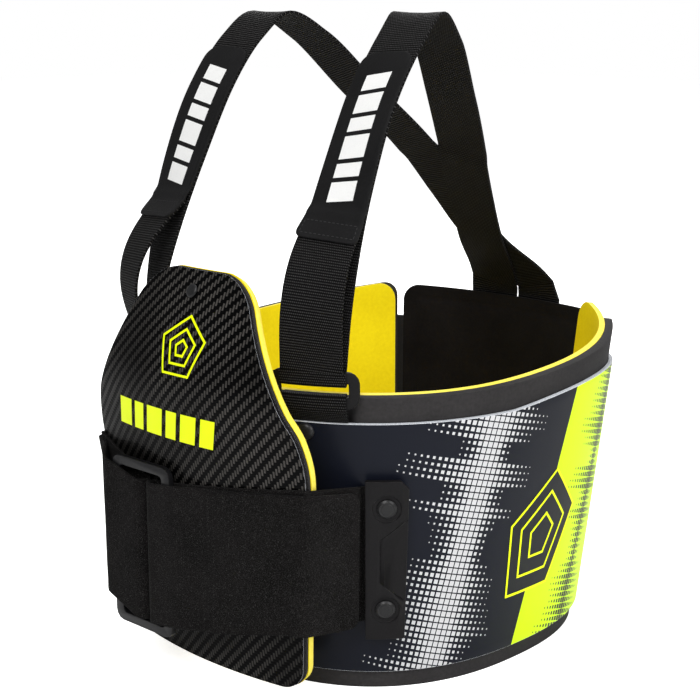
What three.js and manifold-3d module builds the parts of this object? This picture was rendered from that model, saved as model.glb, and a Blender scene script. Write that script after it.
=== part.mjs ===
// Karting rib protector, standing open as it does when worn: stiff side shells lined with foam,
// a padded back panel, a front plate, two elastic straps doubled round one buckle, and shoulder
// straps that cross at the back. Millimetres, +Z up, front towards -Y, wearer's left towards +X.
// The origin is on the chest's axis, half way up the shells.
import * as THREE from 'three';
import { mergeVertices } from 'three/addons/utils/BufferGeometryUtils.js';
import Module from 'manifold-3d';

const wasm = await Module();
wasm.setup();

// Driving sizes
const gap = 0.3; // clearance between pieces that touch
const facet = 11; // length of a flat facet round the chest

// plan of the shells' outer face at their top edge
const chest = { halfWidth: 150, front: 157, back: 166, roundness: 2.3 };

// taper is how far the lower edge sits inside the upper one; openings are between the two ends,
// rear ends are measured from the back's centre, and riseFrom is a share of the way to the back
const shell = {
  height: 170, thickness: 3, taper: 19.5, frontOpening: 68, leftRearEnd: 47, rightRearEnd: 54,
  rise: 7, riseFrom: 0.43, corner: 14,
};
const foam = {
  thickness: 5.5, above: 17, below: 12, frontOpening: 64, besidePanel: 5,
  rise: 17, riseFrom: 0.3, corner: 12,
};
const liner = {
  thickness: 4, frontOpening: 70, leftRearEnd: 74, rightRearEnd: 113, below: 9, corner: 15,
};
const panel = { width: 212, thickness: 5.5, above: 31, below: 10, dip: 3, corner: 13 };

// chest plate: ahead is how far its face stands before the shells' plan at mid height, curve its
// radius, forward its slope, and above leanStart its top leans back to the chest
const plate = {
  thickness: 2.5, bottom: -88, top: 174, ahead: 19, curve: 343, forward: 0.141,
  leanStart: 91, leanBack: 35, leanPower: 1.6, topCorner: 20, bottomCorner: 16, foam: 2, liner: 5,
};
// half the plate's width down its side, as shares of its height and of its greatest half width
const plateHalfWidth = 98;
const plateSide = [
  { height: 0, width: 0.806 },
  { height: 0.34, width: 0.923 },
  { height: 0.55, width: 1 },
  { height: 0.645, width: 0.96 },
  { height: 0.706, width: 0.867 },
  { height: 0.847, width: 0.648 },
  { height: 1, width: 0.418 },
];
const plateRivet = { diameter: 9, height: 1.6, below: 12.5 };

// strap plates: along is the distance round the chest from the front centre
const strapPlate = {
  width: 27, height: 108, thickness: 5, along: 124.5, centre: -4.5, chamfer: 5,
  rivetHead: 12.5, rivetHeight: 1.5, recess: 18.5, recessDepth: 1.3, rivetTop: 31, rivetLow: -38,
};
// its bend is the radius round the plate's edge; it stands upright from that share of its run on
const elastic = {
  width: 96, clampWidth: 92, thickness: 2, foldDepth: 7, freeEndShort: 8, bend: 2.2, uprightFrom: 0.55,
};
// height of the centre line of the elastic's two layers at the fold, the plate's edge and the clamp
const elasticCentre = {
  inner: { fold: -13, edge: 4, clamp: -1.5 },
  outer: { fold: -13, edge: 1, clamp: -4.5 },
};
// how far each strap runs past its bar of the buckle before it turns back
const foldPast = { left: 19, right: 28 };

const buckle = {
  width: 58, height: 115, bar: 7.5, arm: 6, thickness: 4, corner: 7, centreX: -37, centreZ: -10.5,
};

const webbing = { width: 40, thickness: 1.8 };
const slide = { width: 56, bar: 7.5, window: 9, windowWidth: 43, depth: 4, corner: 8, along: 80, above: 22 };
const loopTail = 13; // how far the slide's short webbing goes down inside the shell
const domeRivet = { diameter: 11, height: 3, along: 73.5, below: 6 };

// shoulder strap: where its end is sewn on the back panel, its top, and its doubled front run
const shoulder = {
  top: 330, between: 2, aside: -8, asideUntil: 0.4, tail: 52, crossing: 1.4,
  leftBulge: 11, rightBulge: 15, doubled: 95, twist: 170,
};
// the straps lie over each other while their middles are nearer than this share of their width
const crossed = { until: 0.48, clear: 0.56 };
// the strap's centre line from the panel (ahead 0) over the shoulder to the slide (ahead 1), as
// shares of the slide's place to the side, of the way to the front, and of the rise to its top
const shoulderRun = [
  { across: -0.17, ahead: 0.055, up: 0.11 },
  { across: 0, ahead: 0.16, up: 0.235 },
  { across: 0.13, ahead: 0.25, up: 0.392 },
  { across: 0.285, ahead: 0.343, up: 0.565 },
  { across: 0.53, ahead: 0.46, up: 0.75 },
  { across: 0.745, ahead: 0.575, up: 0.93 },
  { across: 0.87, ahead: 0.665, up: 1 },
  { across: 0.93, ahead: 0.735, up: 0.93 },
  { across: 0.96, ahead: 0.82, up: 0.775 },
  { across: 0.98, ahead: 0.895, up: 0.56 },
  { across: 0.99, ahead: 0.95, up: 0.355 },
  { across: 1, ahead: 0.983, up: 0.18 },
];
const tab = { width: 41, length: 126, thickness: 1.6, sewn: 14, flare: 3, lowCorner: 4, topCorner: 10 };

// Heights and lengths that follow from them
const shellTop = shell.height / 2;
const shellBottom = -shell.height / 2;

class ChestLine extends THREE.Curve {
  getPoint(t) {
    const angle = (t - 0.5) * 2 * Math.PI;
    const power = 2 / chest.roundness;
    const across = Math.sin(angle);
    const ahead = Math.cos(angle);
    const depth = ahead > 0 ? chest.front : chest.back;
    const x = Math.sign(across) * Math.abs(across) ** power * chest.halfWidth;
    const y = -Math.sign(ahead) * Math.abs(ahead) ** power * depth;
    return new THREE.Vector3(x, y, 0);
  }
}
const chestLine = new ChestLine();
chestLine.arcLengthDivisions = 4000;
const ringLength = chestLine.getLength();
const halfRing = ringLength / 2;

// the foam ends beside the back panel, and rises towards it
const foamRearEnd = halfRing - panel.width / 2 - foam.besidePanel;
const foamTopAt = (along) => {
  const start = halfRing * foam.riseFrom;
  const share = Math.max(0, (Math.abs(along) - start) / (foamRearEnd - start));
  return shellTop + foam.above + foam.rise * share ** 2;
};
// the shell's upper edge rises a little under the arm
const shellTopAt = (along) => {
  const start = halfRing * shell.riseFrom;
  const share = (Math.abs(along) - start) / (halfRing - shell.leftRearEnd - start);
  return shellTop + shell.rise * Math.sin(Math.PI * THREE.MathUtils.clamp(share, 0, 1));
};

// outward direction of the ring at one of its points
function ringNormal(point) {
  const depth = point.y < 0 ? chest.front : chest.back;
  const power = chest.roundness - 1;
  const x = Math.sign(point.x) * (Math.abs(point.x) / chest.halfWidth) ** power / chest.halfWidth;
  const y = Math.sign(point.y) * (Math.abs(point.y) / depth) ** power / depth;
  return new THREE.Vector3(x, y, 0).normalize();
}

// a point on the tapered wall: distance round the ring, distance outside the shell's face, height
function ringPoint(along, outward, z) {
  const turn = 0.5 + along / ringLength;
  const point = chestLine.getPointAt(turn - Math.floor(turn));
  const lean = (shell.taper * (z - shellTop)) / shell.height;
  return point.addScaledVector(ringNormal(point), outward + lean).setZ(z);
}

// outward direction of the tapered wall itself
function wallNormal(along) {
  const upper = ringPoint(along, 0, shellTop);
  const lower = ringPoint(along, 0, shellBottom);
  const aside = ringPoint(along + 1, 0, shellTop).sub(upper);
  const normal = new THREE.Vector3().crossVectors(upper.clone().sub(lower), aside).normalize();
  return normal.dot(ringNormal(upper)) < 0 ? normal.negate() : normal;
}

// a smooth value through a short table, by cubic steps between its rows
function follow(rows, key, value, at) {
  const last = rows.length - 1;
  if (at <= rows[0][key]) return rows[0][value];
  if (at >= rows[last][key]) return rows[last][value];
  const i = rows.findIndex((row, n) => n < last && at <= rows[n + 1][key]);
  const slope = (a, b) => (rows[b][value] - rows[a][value]) / (rows[b][key] - rows[a][key]);
  const span = rows[i + 1][key] - rows[i][key];
  const t = (at - rows[i][key]) / span;
  const startSlope = slope(Math.max(0, i - 1), i + 1) * span;
  const endSlope = slope(i, Math.min(last, i + 2)) * span;
  const a = 2 * rows[i][value] - 2 * rows[i + 1][value] + startSlope + endSlope;
  const b = -3 * rows[i][value] + 3 * rows[i + 1][value] - 2 * startSlope - endSlope;
  return ((a * t + b) * t + startSlope) * t + rows[i][value];
}

// how much a rounded corner takes off at a distance from the end
function cornerDrop(distance, radius) {
  if (distance >= radius) return 0;
  const inside = radius - Math.max(0, distance);
  return radius - Math.sqrt(radius ** 2 - inside ** 2);
}

// places from one end to the other: fine steps in the rounded corners, facets between
function placesAlong(from, to, radius, step, grid = 0) {
  const cornerAngles = [0, 25, 50, 72, 90];
  const corner = cornerAngles.map((deg) => radius * (1 - Math.cos(THREE.MathUtils.degToRad(deg))));
  const start = corner.map((d) => from + d);
  const end = corner.map((d) => to - d).reverse();
  const middle = [];
  for (let place = grid + Math.ceil((from + radius - grid) / step) * step; place < to - radius; place += step) {
    const clear = place - from - radius > step / 3 && to - radius - place > step / 3;
    if (clear) middle.push(place);
  }
  return [...start, ...middle, ...end];
}

// Geometry helpers

// turns a closed mesh right side out
function outward(geometry) {
  const position = geometry.attributes.position;
  const index = geometry.index.array;
  const a = new THREE.Vector3();
  const b = new THREE.Vector3();
  const c = new THREE.Vector3();
  let volume = 0;
  for (let i = 0; i < index.length; i += 3) {
    a.fromBufferAttribute(position, index[i]);
    b.fromBufferAttribute(position, index[i + 1]);
    c.fromBufferAttribute(position, index[i + 2]);
    volume += a.dot(b.cross(c));
  }
  if (volume < 0) {
    for (let i = 0; i < index.length; i += 3) [index[i + 1], index[i + 2]] = [index[i + 2], index[i + 1]];
  }
  geometry.computeVertexNormals();
  return geometry;
}

// a closed wall: at(i, j, 0) is on its outer face and at(i, j, 1) on its inner one
function wall(rows, columns, at) {
  const positions = [];
  const indices = [];
  const number = (i, j, side) => (i * columns + j) * 2 + side;
  const quad = (a, b, c, d) => indices.push(a, b, c, a, c, d);
  for (let i = 0; i < rows; i += 1) {
    for (let j = 0; j < columns; j += 1) {
      positions.push(...at(i, j, 0).toArray(), ...at(i, j, 1).toArray());
    }
  }
  for (let i = 0; i < rows - 1; i += 1) {
    for (let j = 0; j < columns - 1; j += 1) {
      quad(number(i, j, 0), number(i + 1, j, 0), number(i + 1, j + 1, 0), number(i, j + 1, 0));
      quad(number(i, j + 1, 1), number(i + 1, j + 1, 1), number(i + 1, j, 1), number(i, j, 1));
    }
  }
  const border = [];
  for (let j = 0; j < columns - 1; j += 1) border.push([0, j]);
  for (let i = 0; i < rows - 1; i += 1) border.push([i, columns - 1]);
  for (let j = columns - 1; j > 0; j -= 1) border.push([rows - 1, j]);
  for (let i = rows - 1; i > 0; i -= 1) border.push([i, 0]);
  border.forEach((here, n) => {
    const next = border[(n + 1) % border.length];
    quad(number(...here, 0), number(...next, 0), number(...next, 1), number(...here, 1));
  });
  const geometry = new THREE.BufferGeometry();
  geometry.setAttribute('position', new THREE.Float32BufferAttribute(positions, 3));
  geometry.setIndex(indices);
  return outward(geometry);
}

// a closed block on the tapered wall, between two distances outside the shell's face
function ringBlock(sign, places, span, bottomAt, topAt) {
  return wall(places.length, 2, (i, j, face) => {
    const z = j === 0 ? bottomAt(places[i]) : topAt(places[i]);
    return ringPoint(sign * places[i], face === 0 ? span.outer : span.inner, z);
  });
}

// a copy with positions only, so that shared vertices can be merged
function bare(geometry) {
  const copy = geometry.clone();
  copy.deleteAttribute('normal');
  copy.deleteAttribute('uv');
  return copy;
}

function toSolid(geometry) {
  const merged = outward(mergeVertices(bare(geometry), 1e-4));
  const vertProperties = Float32Array.from(merged.attributes.position.array);
  const triVerts = Uint32Array.from(merged.index.array);
  return new wasm.Manifold(new wasm.Mesh({ numProp: 3, vertProperties, triVerts }));
}

function fromSolid(solid) {
  const mesh = solid.getMesh();
  const geometry = new THREE.BufferGeometry();
  geometry.setAttribute('position', new THREE.BufferAttribute(mesh.vertProperties, 3));
  geometry.setIndex(new THREE.BufferAttribute(mesh.triVerts, 1));
  return outward(geometry);
}

// a flat outline with rounded corners
function roundedOutline(width, height, radius) {
  const corners = [[1, 1, 0], [-1, 1, 90], [-1, -1, 180], [1, -1, 270]];
  return corners.flatMap(([right, up, startAngle]) => [0, 30, 60, 90].map((turn) => {
    const angle = THREE.MathUtils.degToRad(startAngle + turn);
    const x = right * (width / 2 - radius) + radius * Math.cos(angle);
    const y = up * (height / 2 - radius) + radius * Math.sin(angle);
    return new THREE.Vector2(x, y);
  }));
}

// a rivet head: flat underside, short upright rim and domed top, axis along +Z
function rivetHead(diameter, height, segments) {
  const radius = diameter / 2;
  const rim = height * 0.3;
  const profile = [new THREE.Vector2(0, 0), new THREE.Vector2(radius, 0), new THREE.Vector2(radius, rim)];
  for (const share of [0.85, 0.6, 0.3]) {
    profile.push(new THREE.Vector2(radius * share, rim + (height - rim) * Math.sqrt(1 - share ** 2)));
  }
  profile.push(new THREE.Vector2(0, height));
  const geometry = new THREE.LatheGeometry(profile, segments);
  geometry.rotateX(Math.PI / 2);
  return outward(mergeVertices(bare(geometry), 1e-4));
}

// a strap: each station gives its middle surface's point at a share of the width, -0.5 to 0.5
function band(stations, columns, thickness) {
  const last = stations.length - 1;
  const shareAt = (j) => j / (columns - 1) - 0.5;
  const grid = stations.map((station) => Array.from({ length: columns }, (_, j) => station(shareAt(j))));
  const normals = grid.map((row, i) => row.map((point, j) => {
    const before = grid[Math.max(0, i - 1)][j];
    const after = grid[Math.min(last, i + 1)][j];
    const across = row[Math.min(columns - 1, j + 1)].clone().sub(row[Math.max(0, j - 1)]);
    return new THREE.Vector3().crossVectors(across, after.clone().sub(before)).normalize();
  }));
  return wall(stations.length, columns, (i, j, side) => (
    grid[i][j].clone().addScaledVector(normals[i][j], (side === 0 ? 0.5 : -0.5) * thickness)
  ));
}

// Materials
const finish = (color, roughness, metalness = 0) => new THREE.MeshStandardMaterial({ color, roughness, metalness });
const carbon = finish(0x26262a, 0.25);
const printedShell = finish(0x16181f, 0.4);
const blackFoam = finish(0x262424, 0.9);
const yellowFoam = finish(0xe6c800, 0.85);
const blackCloth = finish(0x181718, 0.95);
const blackWebbing = finish(0x151515, 0.85);
const darkPlastic = finish(0x2b2b2c, 0.5);
const greyPlastic = finish(0x55595c, 0.45);

const model = new THREE.Group();
model.name = 'rib_protector';
const sides = [{ name: 'left', sign: 1 }, { name: 'right', sign: -1 }];

function add(name, geometry, material) {
  const mesh = new THREE.Mesh(geometry, material);
  mesh.name = name;
  model.add(mesh);
  return mesh;
}

// stands a rivet on a surface point, along the surface's outward direction
function addRivet(name, head, point, normal) {
  const rivet = add(name, rivetHead(head.diameter, head.height, 16), darkPlastic);
  rivet.quaternion.setFromUnitVectors(new THREE.Vector3(0, 0, 1), normal);
  rivet.position.copy(point).addScaledVector(normal, gap);
}

// Side shells, foams and liners, each a wall that follows the ring
function sideWall(sign, size) {
  const places = placesAlong(size.from, size.to, size.corner, facet);
  const drop = (along) => cornerDrop(Math.min(along - size.from, size.to - along), size.corner);
  const span = { inner: size.outside - size.thickness, outer: size.outside };
  return ringBlock(sign, places, span, (along) => size.bottom + drop(along), (along) => size.topAt(along) - drop(along));
}

const foamOutside = -shell.thickness - gap;
const linerOutside = foamOutside - foam.thickness - gap;
const foamBottom = shellBottom - foam.below;

// the slide hangs with its webbing just clear of the foam's face
const slideInner = foamOutside + 2 * gap + webbing.thickness;
const slideHeight = 2 * slide.bar + slide.window;
const slideCentreZ = shellTop + slide.above;
const lowerBarZ = slideCentreZ - (slide.window + slide.bar) / 2;
const upperBarZ = slideCentreZ + (slide.window + slide.bar) / 2;
const barMiddle = slideInner + slide.depth / 2;
const pocketDepth = 2 * webbing.thickness + 2 * gap;
const tailMiddle = foamOutside - gap - webbing.thickness;

for (const { name, sign } of sides) {
  add(`${name}_shell`, sideWall(sign, {
    from: shell.frontOpening / 2,
    to: halfRing - (sign > 0 ? shell.leftRearEnd : shell.rightRearEnd),
    corner: shell.corner,
    bottom: shellBottom,
    topAt: shellTopAt,
    outside: 0,
    thickness: shell.thickness,
  }), printedShell);

  const pad = sideWall(sign, {
    from: foam.frontOpening / 2,
    to: foamRearEnd,
    corner: foam.corner,
    bottom: foamBottom,
    topAt: foamTopAt,
    outside: foamOutside,
    thickness: foam.thickness,
  });
  // a shallow pocket in the foam takes the slide's short webbing
  const pocketHalf = webbing.width / 2 + gap;
  const pocketPlaces = [-1, -0.5, 0, 0.5, 1].map((share) => slide.along + share * pocketHalf);
  const pocketSpan = { inner: foamOutside - pocketDepth, outer: 0 };
  const pocketBottom = shellTop - loopTail - gap;
  const pocket = ringBlock(sign, pocketPlaces, pocketSpan, () => pocketBottom, () => lowerBarZ - gap);
  add(`${name}_foam`, fromSolid(toSolid(pad).subtract(toSolid(pocket))), blackFoam);

  const rearEnd = sign > 0 ? liner.leftRearEnd : liner.rightRearEnd;
  add(`${name}_liner`, sideWall(sign, {
    from: liner.frontOpening / 2,
    to: halfRing - rearEnd,
    corner: liner.corner,
    bottom: shellBottom - liner.below,
    topAt: foamTopAt,
    outside: linerOutside,
    thickness: liner.thickness,
  }), yellowFoam);
}

// Back panel, between the two foams
const panelStart = halfRing - panel.width / 2;
const panelPlaces = placesAlong(panelStart, panelStart + panel.width, panel.corner, facet);
const panelSpan = { inner: foamOutside - panel.thickness, outer: foamOutside };
const panelDrop = (along) => cornerDrop(panel.width / 2 - Math.abs(along - halfRing), panel.corner);
const panelDip = (along) => panel.dip * (1 - ((along - halfRing) / (panel.width / 2)) ** 2);
add('back_panel', ringBlock(
  1,
  panelPlaces,
  panelSpan,
  (along) => shellBottom - panel.below + panelDrop(along),
  (along) => shellTop + panel.above - panelDip(along) - panelDrop(along),
), blackCloth);

// Front plate, its foam and its liner
const plateHeight = plate.top - plate.bottom;
function plateFaceY(x, z) {
  const above = Math.max(0, z - plate.leanStart) / (plate.top - plate.leanStart);
  const lean = plate.leanBack * above ** plate.leanPower;
  return -(chest.front + plate.ahead - x ** 2 / (2 * plate.curve) + plate.forward * z - lean);
}
function plateEdgeX(z) {
  const side = plateHalfWidth * follow(plateSide, 'height', 'width', (z - plate.bottom) / plateHeight);
  return side - cornerDrop(plate.top - z, plate.topCorner) - cornerDrop(z - plate.bottom, plate.bottomCorner);
}
const plateFacet = 13;
const plateRows = placesAlong(plate.bottom, plate.top, plate.bottomCorner, plateFacet);
const plateColumns = [-1, -0.75, -0.5, -0.25, 0, 0.25, 0.5, 0.75, 1];
function plateLayer(behind, thickness) {
  return wall(plateRows.length, plateColumns.length, (i, j, face) => {
    const z = plateRows[i];
    const x = plateEdgeX(z) * plateColumns[j];
    return new THREE.Vector3(x, plateFaceY(x, z) + behind + (face === 0 ? 0 : thickness), z);
  });
}
const plateFoamBehind = plate.thickness + gap;
const plateLinerBehind = plateFoamBehind + plate.foam + gap;
add('front_plate', plateLayer(0, plate.thickness), carbon);
add('front_foam', plateLayer(plateFoamBehind, plate.foam), blackFoam);
add('front_liner', plateLayer(plateLinerBehind, plate.liner), yellowFoam);

const rivetZ = plate.top - plateRivet.below;
const plateSlope = (plateFaceY(0, rivetZ + 1) - plateFaceY(0, rivetZ - 1)) / 2;
addRivet('plate_rivet', plateRivet, new THREE.Vector3(0, plateFaceY(0, rivetZ), rivetZ),
  new THREE.Vector3(0, -1, plateSlope).normalize());

// Strap plates and their rivets
const strapPlateInner = elastic.thickness + 2 * gap;
const strapPlateOuter = strapPlateInner + strapPlate.thickness;
const rivetPlaces = [
  { place: 'top', z: strapPlate.rivetTop },
  { place: 'low', z: strapPlate.rivetLow },
];
const clampHead = { diameter: strapPlate.rivetHead, height: strapPlate.rivetHeight };

for (const { name, sign } of sides) {
  const halfWidth = strapPlate.width / 2;
  const places = [-halfWidth, -halfWidth / 2, 0, halfWidth / 2, halfWidth - strapPlate.chamfer, halfWidth]
    .map((place) => strapPlate.along + place);
  const body = ringBlock(
    sign,
    places,
    { inner: strapPlateInner, outer: strapPlateOuter },
    () => strapPlate.centre - strapPlate.height / 2,
    (along) => strapPlate.centre + strapPlate.height / 2
      - Math.max(0, along - strapPlate.along - halfWidth + strapPlate.chamfer),
  );
  const normal = wallNormal(sign * strapPlate.along);
  const turn = new THREE.Quaternion().setFromUnitVectors(new THREE.Vector3(0, 1, 0), normal);
  const seats = rivetPlaces.map(({ z }) => ringPoint(sign * strapPlate.along, strapPlateOuter, z));
  let solid = toSolid(body);
  for (const seat of seats) {
    const radius = strapPlate.recess / 2;
    const recess = new THREE.CylinderGeometry(radius, radius, 2 * strapPlate.recessDepth, 20);
    recess.applyQuaternion(turn);
    recess.translate(seat.x, seat.y, seat.z);
    solid = solid.subtract(toSolid(recess));
  }
  add(`${name}_strap_plate`, fromSolid(solid), darkPlastic);
  rivetPlaces.forEach(({ place }, n) => {
    const seat = seats[n].clone().addScaledVector(normal, -strapPlate.recessDepth);
    addRivet(`${name}_strap_rivet_${place}`, clampHead, seat, normal);
  });
  const dome = ringPoint(sign * domeRivet.along, 0, shellTop - domeRivet.below);
  addRivet(`${name}_dome_rivet`, domeRivet, dome, wallNormal(sign * domeRivet.along));
}

// Elastic straps. Each starts under its strap plate, bends round the front plate's edge, runs over
// its face behind the buckle's bar, turns and comes back on top of itself.
const layerStep = elastic.thickness + gap;
const foldTop = elasticCentre.inner.fold + elastic.width / 2;
const buckleBack = plateFaceY(0, foldTop) - elastic.thickness - 4 * gap;
const frontOfBar = buckleBack - buckle.thickness - gap - elastic.thickness / 2;
const bendX = (z) => plateEdgeX(z) + 3 * gap + elastic.thickness / 2 - elastic.bend;
const onFace = (x, z) => plateFaceY(x, z) - gap - elastic.thickness / 2;

function elasticStations(name, sign) {
  const barX = sign * buckle.centreX + buckle.width / 2 - buckle.bar / 2;
  const foldX = barX - foldPast[name];
  const { inner, outer } = elasticCentre;
  const onShell = (along, outside, centre) => (share) => (
    ringPoint(sign * along, outside, centre + share * elastic.clampWidth)
  );
  // at the plate's edge, the strap bends along it from top to bottom
  const bendAngles = [10, 45, 75];
  const bendStation = (deg, lift, centre) => (share) => {
    const z = centre + share * elastic.width;
    const angle = THREE.MathUtils.degToRad(deg);
    const radius = elastic.bend + lift;
    const y = onFace(bendX(z), z) + elastic.bend - radius * Math.sin(angle);
    return new THREE.Vector3(sign * (bendX(z) + radius * Math.cos(angle)), y, z);
  };
  // over the plate it stands upright, so only its upper edge touches the leaning face
  const runEnd = foldX + elastic.foldDepth;
  const runPlace = (share, layer, k) => {
    const z = THREE.MathUtils.lerp(layer.edge, layer.fold, k) + share * elastic.width;
    const x = THREE.MathUtils.lerp(bendX(z) - elastic.bend, runEnd, k);
    const top = THREE.MathUtils.lerp(inner.edge, inner.fold, k) + elastic.width / 2;
    const upright = THREE.MathUtils.smoothstep(k, 0, elastic.uprightFrom);
    return { x, y: THREE.MathUtils.lerp(onFace(x, z), onFace(x, top), upright), z };
  };
  const innerRun = (k) => (share) => {
    const { x, y, z } = runPlace(share, inner, k);
    return new THREE.Vector3(sign * x, y, z);
  };
  // the outer layer parts from the inner one only round the buckle's bar
  const outerRun = (k) => (share) => {
    const { x, y, z } = runPlace(share, outer, k);
    const open = 1 - THREE.MathUtils.smoothstep(x, barX + buckle.bar, barX + 4 * buckle.bar);
    return new THREE.Vector3(sign * x, THREE.MathUtils.lerp(y - layerStep, frontOfBar, open), z);
  };
  const turnBack = (deg) => (share) => {
    const [back, front] = [innerRun(1)(share), outerRun(1)(share)];
    const angle = THREE.MathUtils.degToRad(deg);
    const middle = (back.y + front.y) / 2;
    const y = middle + ((back.y - front.y) / 2) * Math.cos(angle);
    return new THREE.Vector3(back.x - sign * elastic.foldDepth * Math.sin(angle), y, back.z);
  };
  // the free end lies on the straight run, just short of the strap plate
  const underPlate = gap + elastic.thickness / 2;
  const freeEnd = (share) => {
    const from = bendStation(bendAngles[0], 0, outer.edge)(share);
    const to = onShell(strapPlate.along - strapPlate.width / 2, underPlate, outer.clamp)(share);
    const direction = to.clone().sub(from);
    const outside = direction.clone().cross(new THREE.Vector3(0, 0, sign)).normalize();
    const run = direction.length() - elastic.freeEndShort;
    return from.addScaledVector(direction.normalize(), run).addScaledVector(outside, layerStep + gap);
  };
  const runSteps = Array.from({ length: 10 }, (_, k) => k / 9);
  return [
    ...[0.45, 0.25, 0, -0.25, -0.5, -0.56].map((share) => (
      onShell(strapPlate.along + share * strapPlate.width, underPlate, inner.clamp)
    )),
    ...bendAngles.map((deg) => bendStation(deg, 0, inner.edge)),
    ...runSteps.map(innerRun),
    ...[30, 60, 90, 120, 150].map(turnBack),
    ...runSteps.map(outerRun).reverse(),
    ...bendAngles.map((deg) => bendStation(deg, layerStep, outer.edge)).reverse(),
    freeEnd,
  ];
}
for (const { name, sign } of sides) {
  add(`${name}_elastic`, band(elasticStations(name, sign), 3, elastic.thickness), blackCloth);
}

// Buckle: one upright frame, each of its two bars inside a strap's fold
const buckleWindow = { width: buckle.width - 2 * buckle.bar, height: buckle.height - 2 * buckle.arm };
const buckleShape = new THREE.Shape(roundedOutline(buckle.width, buckle.height, buckle.corner));
const windowCorner = buckle.corner - buckle.thickness;
buckleShape.holes.push(new THREE.Path(roundedOutline(buckleWindow.width, buckleWindow.height, windowCorner)));
const buckleFrame = new THREE.ExtrudeGeometry(buckleShape, { depth: buckle.thickness, bevelEnabled: false });
buckleFrame.rotateX(Math.PI / 2);
buckleFrame.translate(buckle.centreX, buckleBack, buckle.centreZ);
add('buckle', outward(mergeVertices(bare(buckleFrame), 1e-4)), greyPlastic);

// Slides, bent with the ring, and the short webbing loops that hold them
const half = webbing.thickness / 2;
const webbingColumns = [-0.5, -0.25, 0, 0.25, 0.5].map((share) => share * webbing.width);
// webbing's half turn round a bar as (outward, height), from its inner leg to its outer one;
// layer is how far this face of the webbing lies from its middle
function roundBar(barZ, upOrDown, layer) {
  const radius = gap + half + layer;
  const quarter = [0, 45, 90].map((deg) => {
    const angle = THREE.MathUtils.degToRad(deg);
    return { reach: slide.depth / 2 + radius * Math.cos(angle), rise: slide.bar / 2 + radius * Math.sin(angle) };
  });
  const leg = { reach: slide.depth / 2 + radius, rise: -slide.bar / 2 };
  const place = (side) => ({ reach, rise }) => ({ out: barMiddle + side * reach, z: barZ + upOrDown * rise });
  const inner = [leg, ...quarter].map(place(-1));
  const outer = [leg, ...quarter].map(place(1)).reverse();
  return [...inner, ...outer];
}

const tailSpan = { inner: tailMiddle - webbing.thickness, outer: tailMiddle + webbing.thickness };
const tailTop = shellTop + gap;
const tailBottom = shellTop - loopTail;
const loopOutline = [
  { out: tailSpan.inner, z: tailBottom },
  { out: tailSpan.inner, z: tailTop },
  ...roundBar(lowerBarZ, 1, half),
  { out: tailSpan.outer, z: tailTop },
  { out: tailSpan.outer, z: tailBottom },
];
const loopEye = [{ out: tailMiddle, z: tailTop + webbing.thickness }, ...roundBar(lowerBarZ, 1, -half)];
const toPoints = (rows) => rows.map(({ out, z }) => new THREE.Vector2(out, z));
const loopSection = new THREE.Shape(toPoints(loopOutline));
loopSection.holes.push(new THREE.Path(toPoints(loopEye).reverse()));
const loopAcross = new THREE.ExtrudeGeometry(loopSection, { depth: webbing.width, steps: 4, bevelEnabled: false });

for (const { name, sign } of sides) {
  const slideSpan = { inner: slideInner, outer: slideInner + slide.depth };
  const slideStart = slide.along - slide.width / 2;
  const slidePlaces = placesAlong(slideStart, slideStart + slide.width, slide.corner, webbing.width / 4, slide.along);
  const slideDrop = (along) => cornerDrop(slide.width / 2 - Math.abs(along - slide.along), slide.corner);
  const frame = ringBlock(
    sign,
    slidePlaces,
    slideSpan,
    (along) => slideCentreZ - slideHeight / 2 + slideDrop(along),
    (along) => slideCentreZ + slideHeight / 2 - slideDrop(along),
  );
  const windowPlaces = [-slide.windowWidth / 2, ...webbingColumns, slide.windowWidth / 2]
    .map((place) => slide.along + place);
  const windowSpan = { inner: slideSpan.inner - slide.depth, outer: slideSpan.outer + slide.depth };
  const window = ringBlock(
    sign,
    windowPlaces,
    windowSpan,
    () => slideCentreZ - slide.window / 2,
    () => slideCentreZ + slide.window / 2,
  );
  add(`${name}_slide`, fromSolid(toSolid(frame).subtract(toSolid(window))), darkPlastic);
  const loop = mergeVertices(bare(loopAcross), 1e-4);
  const position = loop.attributes.position;
  for (let i = 0; i < position.count; i += 1) {
    const along = slide.along + position.getZ(i) - webbing.width / 2;
    const point = ringPoint(sign * along, position.getX(i), position.getY(i));
    position.setXYZ(i, point.x, point.y, point.z);
  }
  add(`${name}_slide_loop`, outward(loop), blackWebbing);
}

// Shoulder straps: sewn on the back panel, crossing over each other, over the shoulder, round the
// slide's upper bar and back up on top of themselves to the tab
const landingOut = foamOutside + gap + half;
const landingTop = shellTop + panel.above - panel.dip / 2;
const landing = ringPoint(halfRing, landingOut, landingTop);
const slidePoint = ringPoint(slide.along, barMiddle - slide.depth / 2 - gap - half, upperBarZ);
const landingAside = (webbing.width + shoulder.between) / 2;
// both straps lie a little to one side at the back, as worn
const backShift = (ahead) => shoulder.aside * (1 - THREE.MathUtils.smoothstep(ahead, 0, shoulder.asideUntil));
const runPoints = shoulderRun.map(({ across, ahead, up }) => {
  const base = THREE.MathUtils.lerp(landingTop, upperBarZ, ahead);
  return new THREE.Vector3(
    across * slidePoint.x,
    THREE.MathUtils.lerp(landing.y, slidePoint.y, ahead),
    base + up * (shoulder.top - base),
  );
});
const panelEdge = new THREE.Vector3(-landingAside, landing.y, landingTop + webbing.width / 8);
const strapLine = new THREE.CatmullRomCurve3([panelEdge, ...runPoints, slidePoint], false, 'centripetal');
const besideSlide = (step) => ringPoint(slide.along + step, 0, upperBarZ);
const slideTangent = besideSlide(1).sub(besideSlide(-1)).normalize();
const strapLength = strapLine.getLength();
const turnAt = (fromSlide) => 1 - fromSlide / strapLength;
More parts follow.
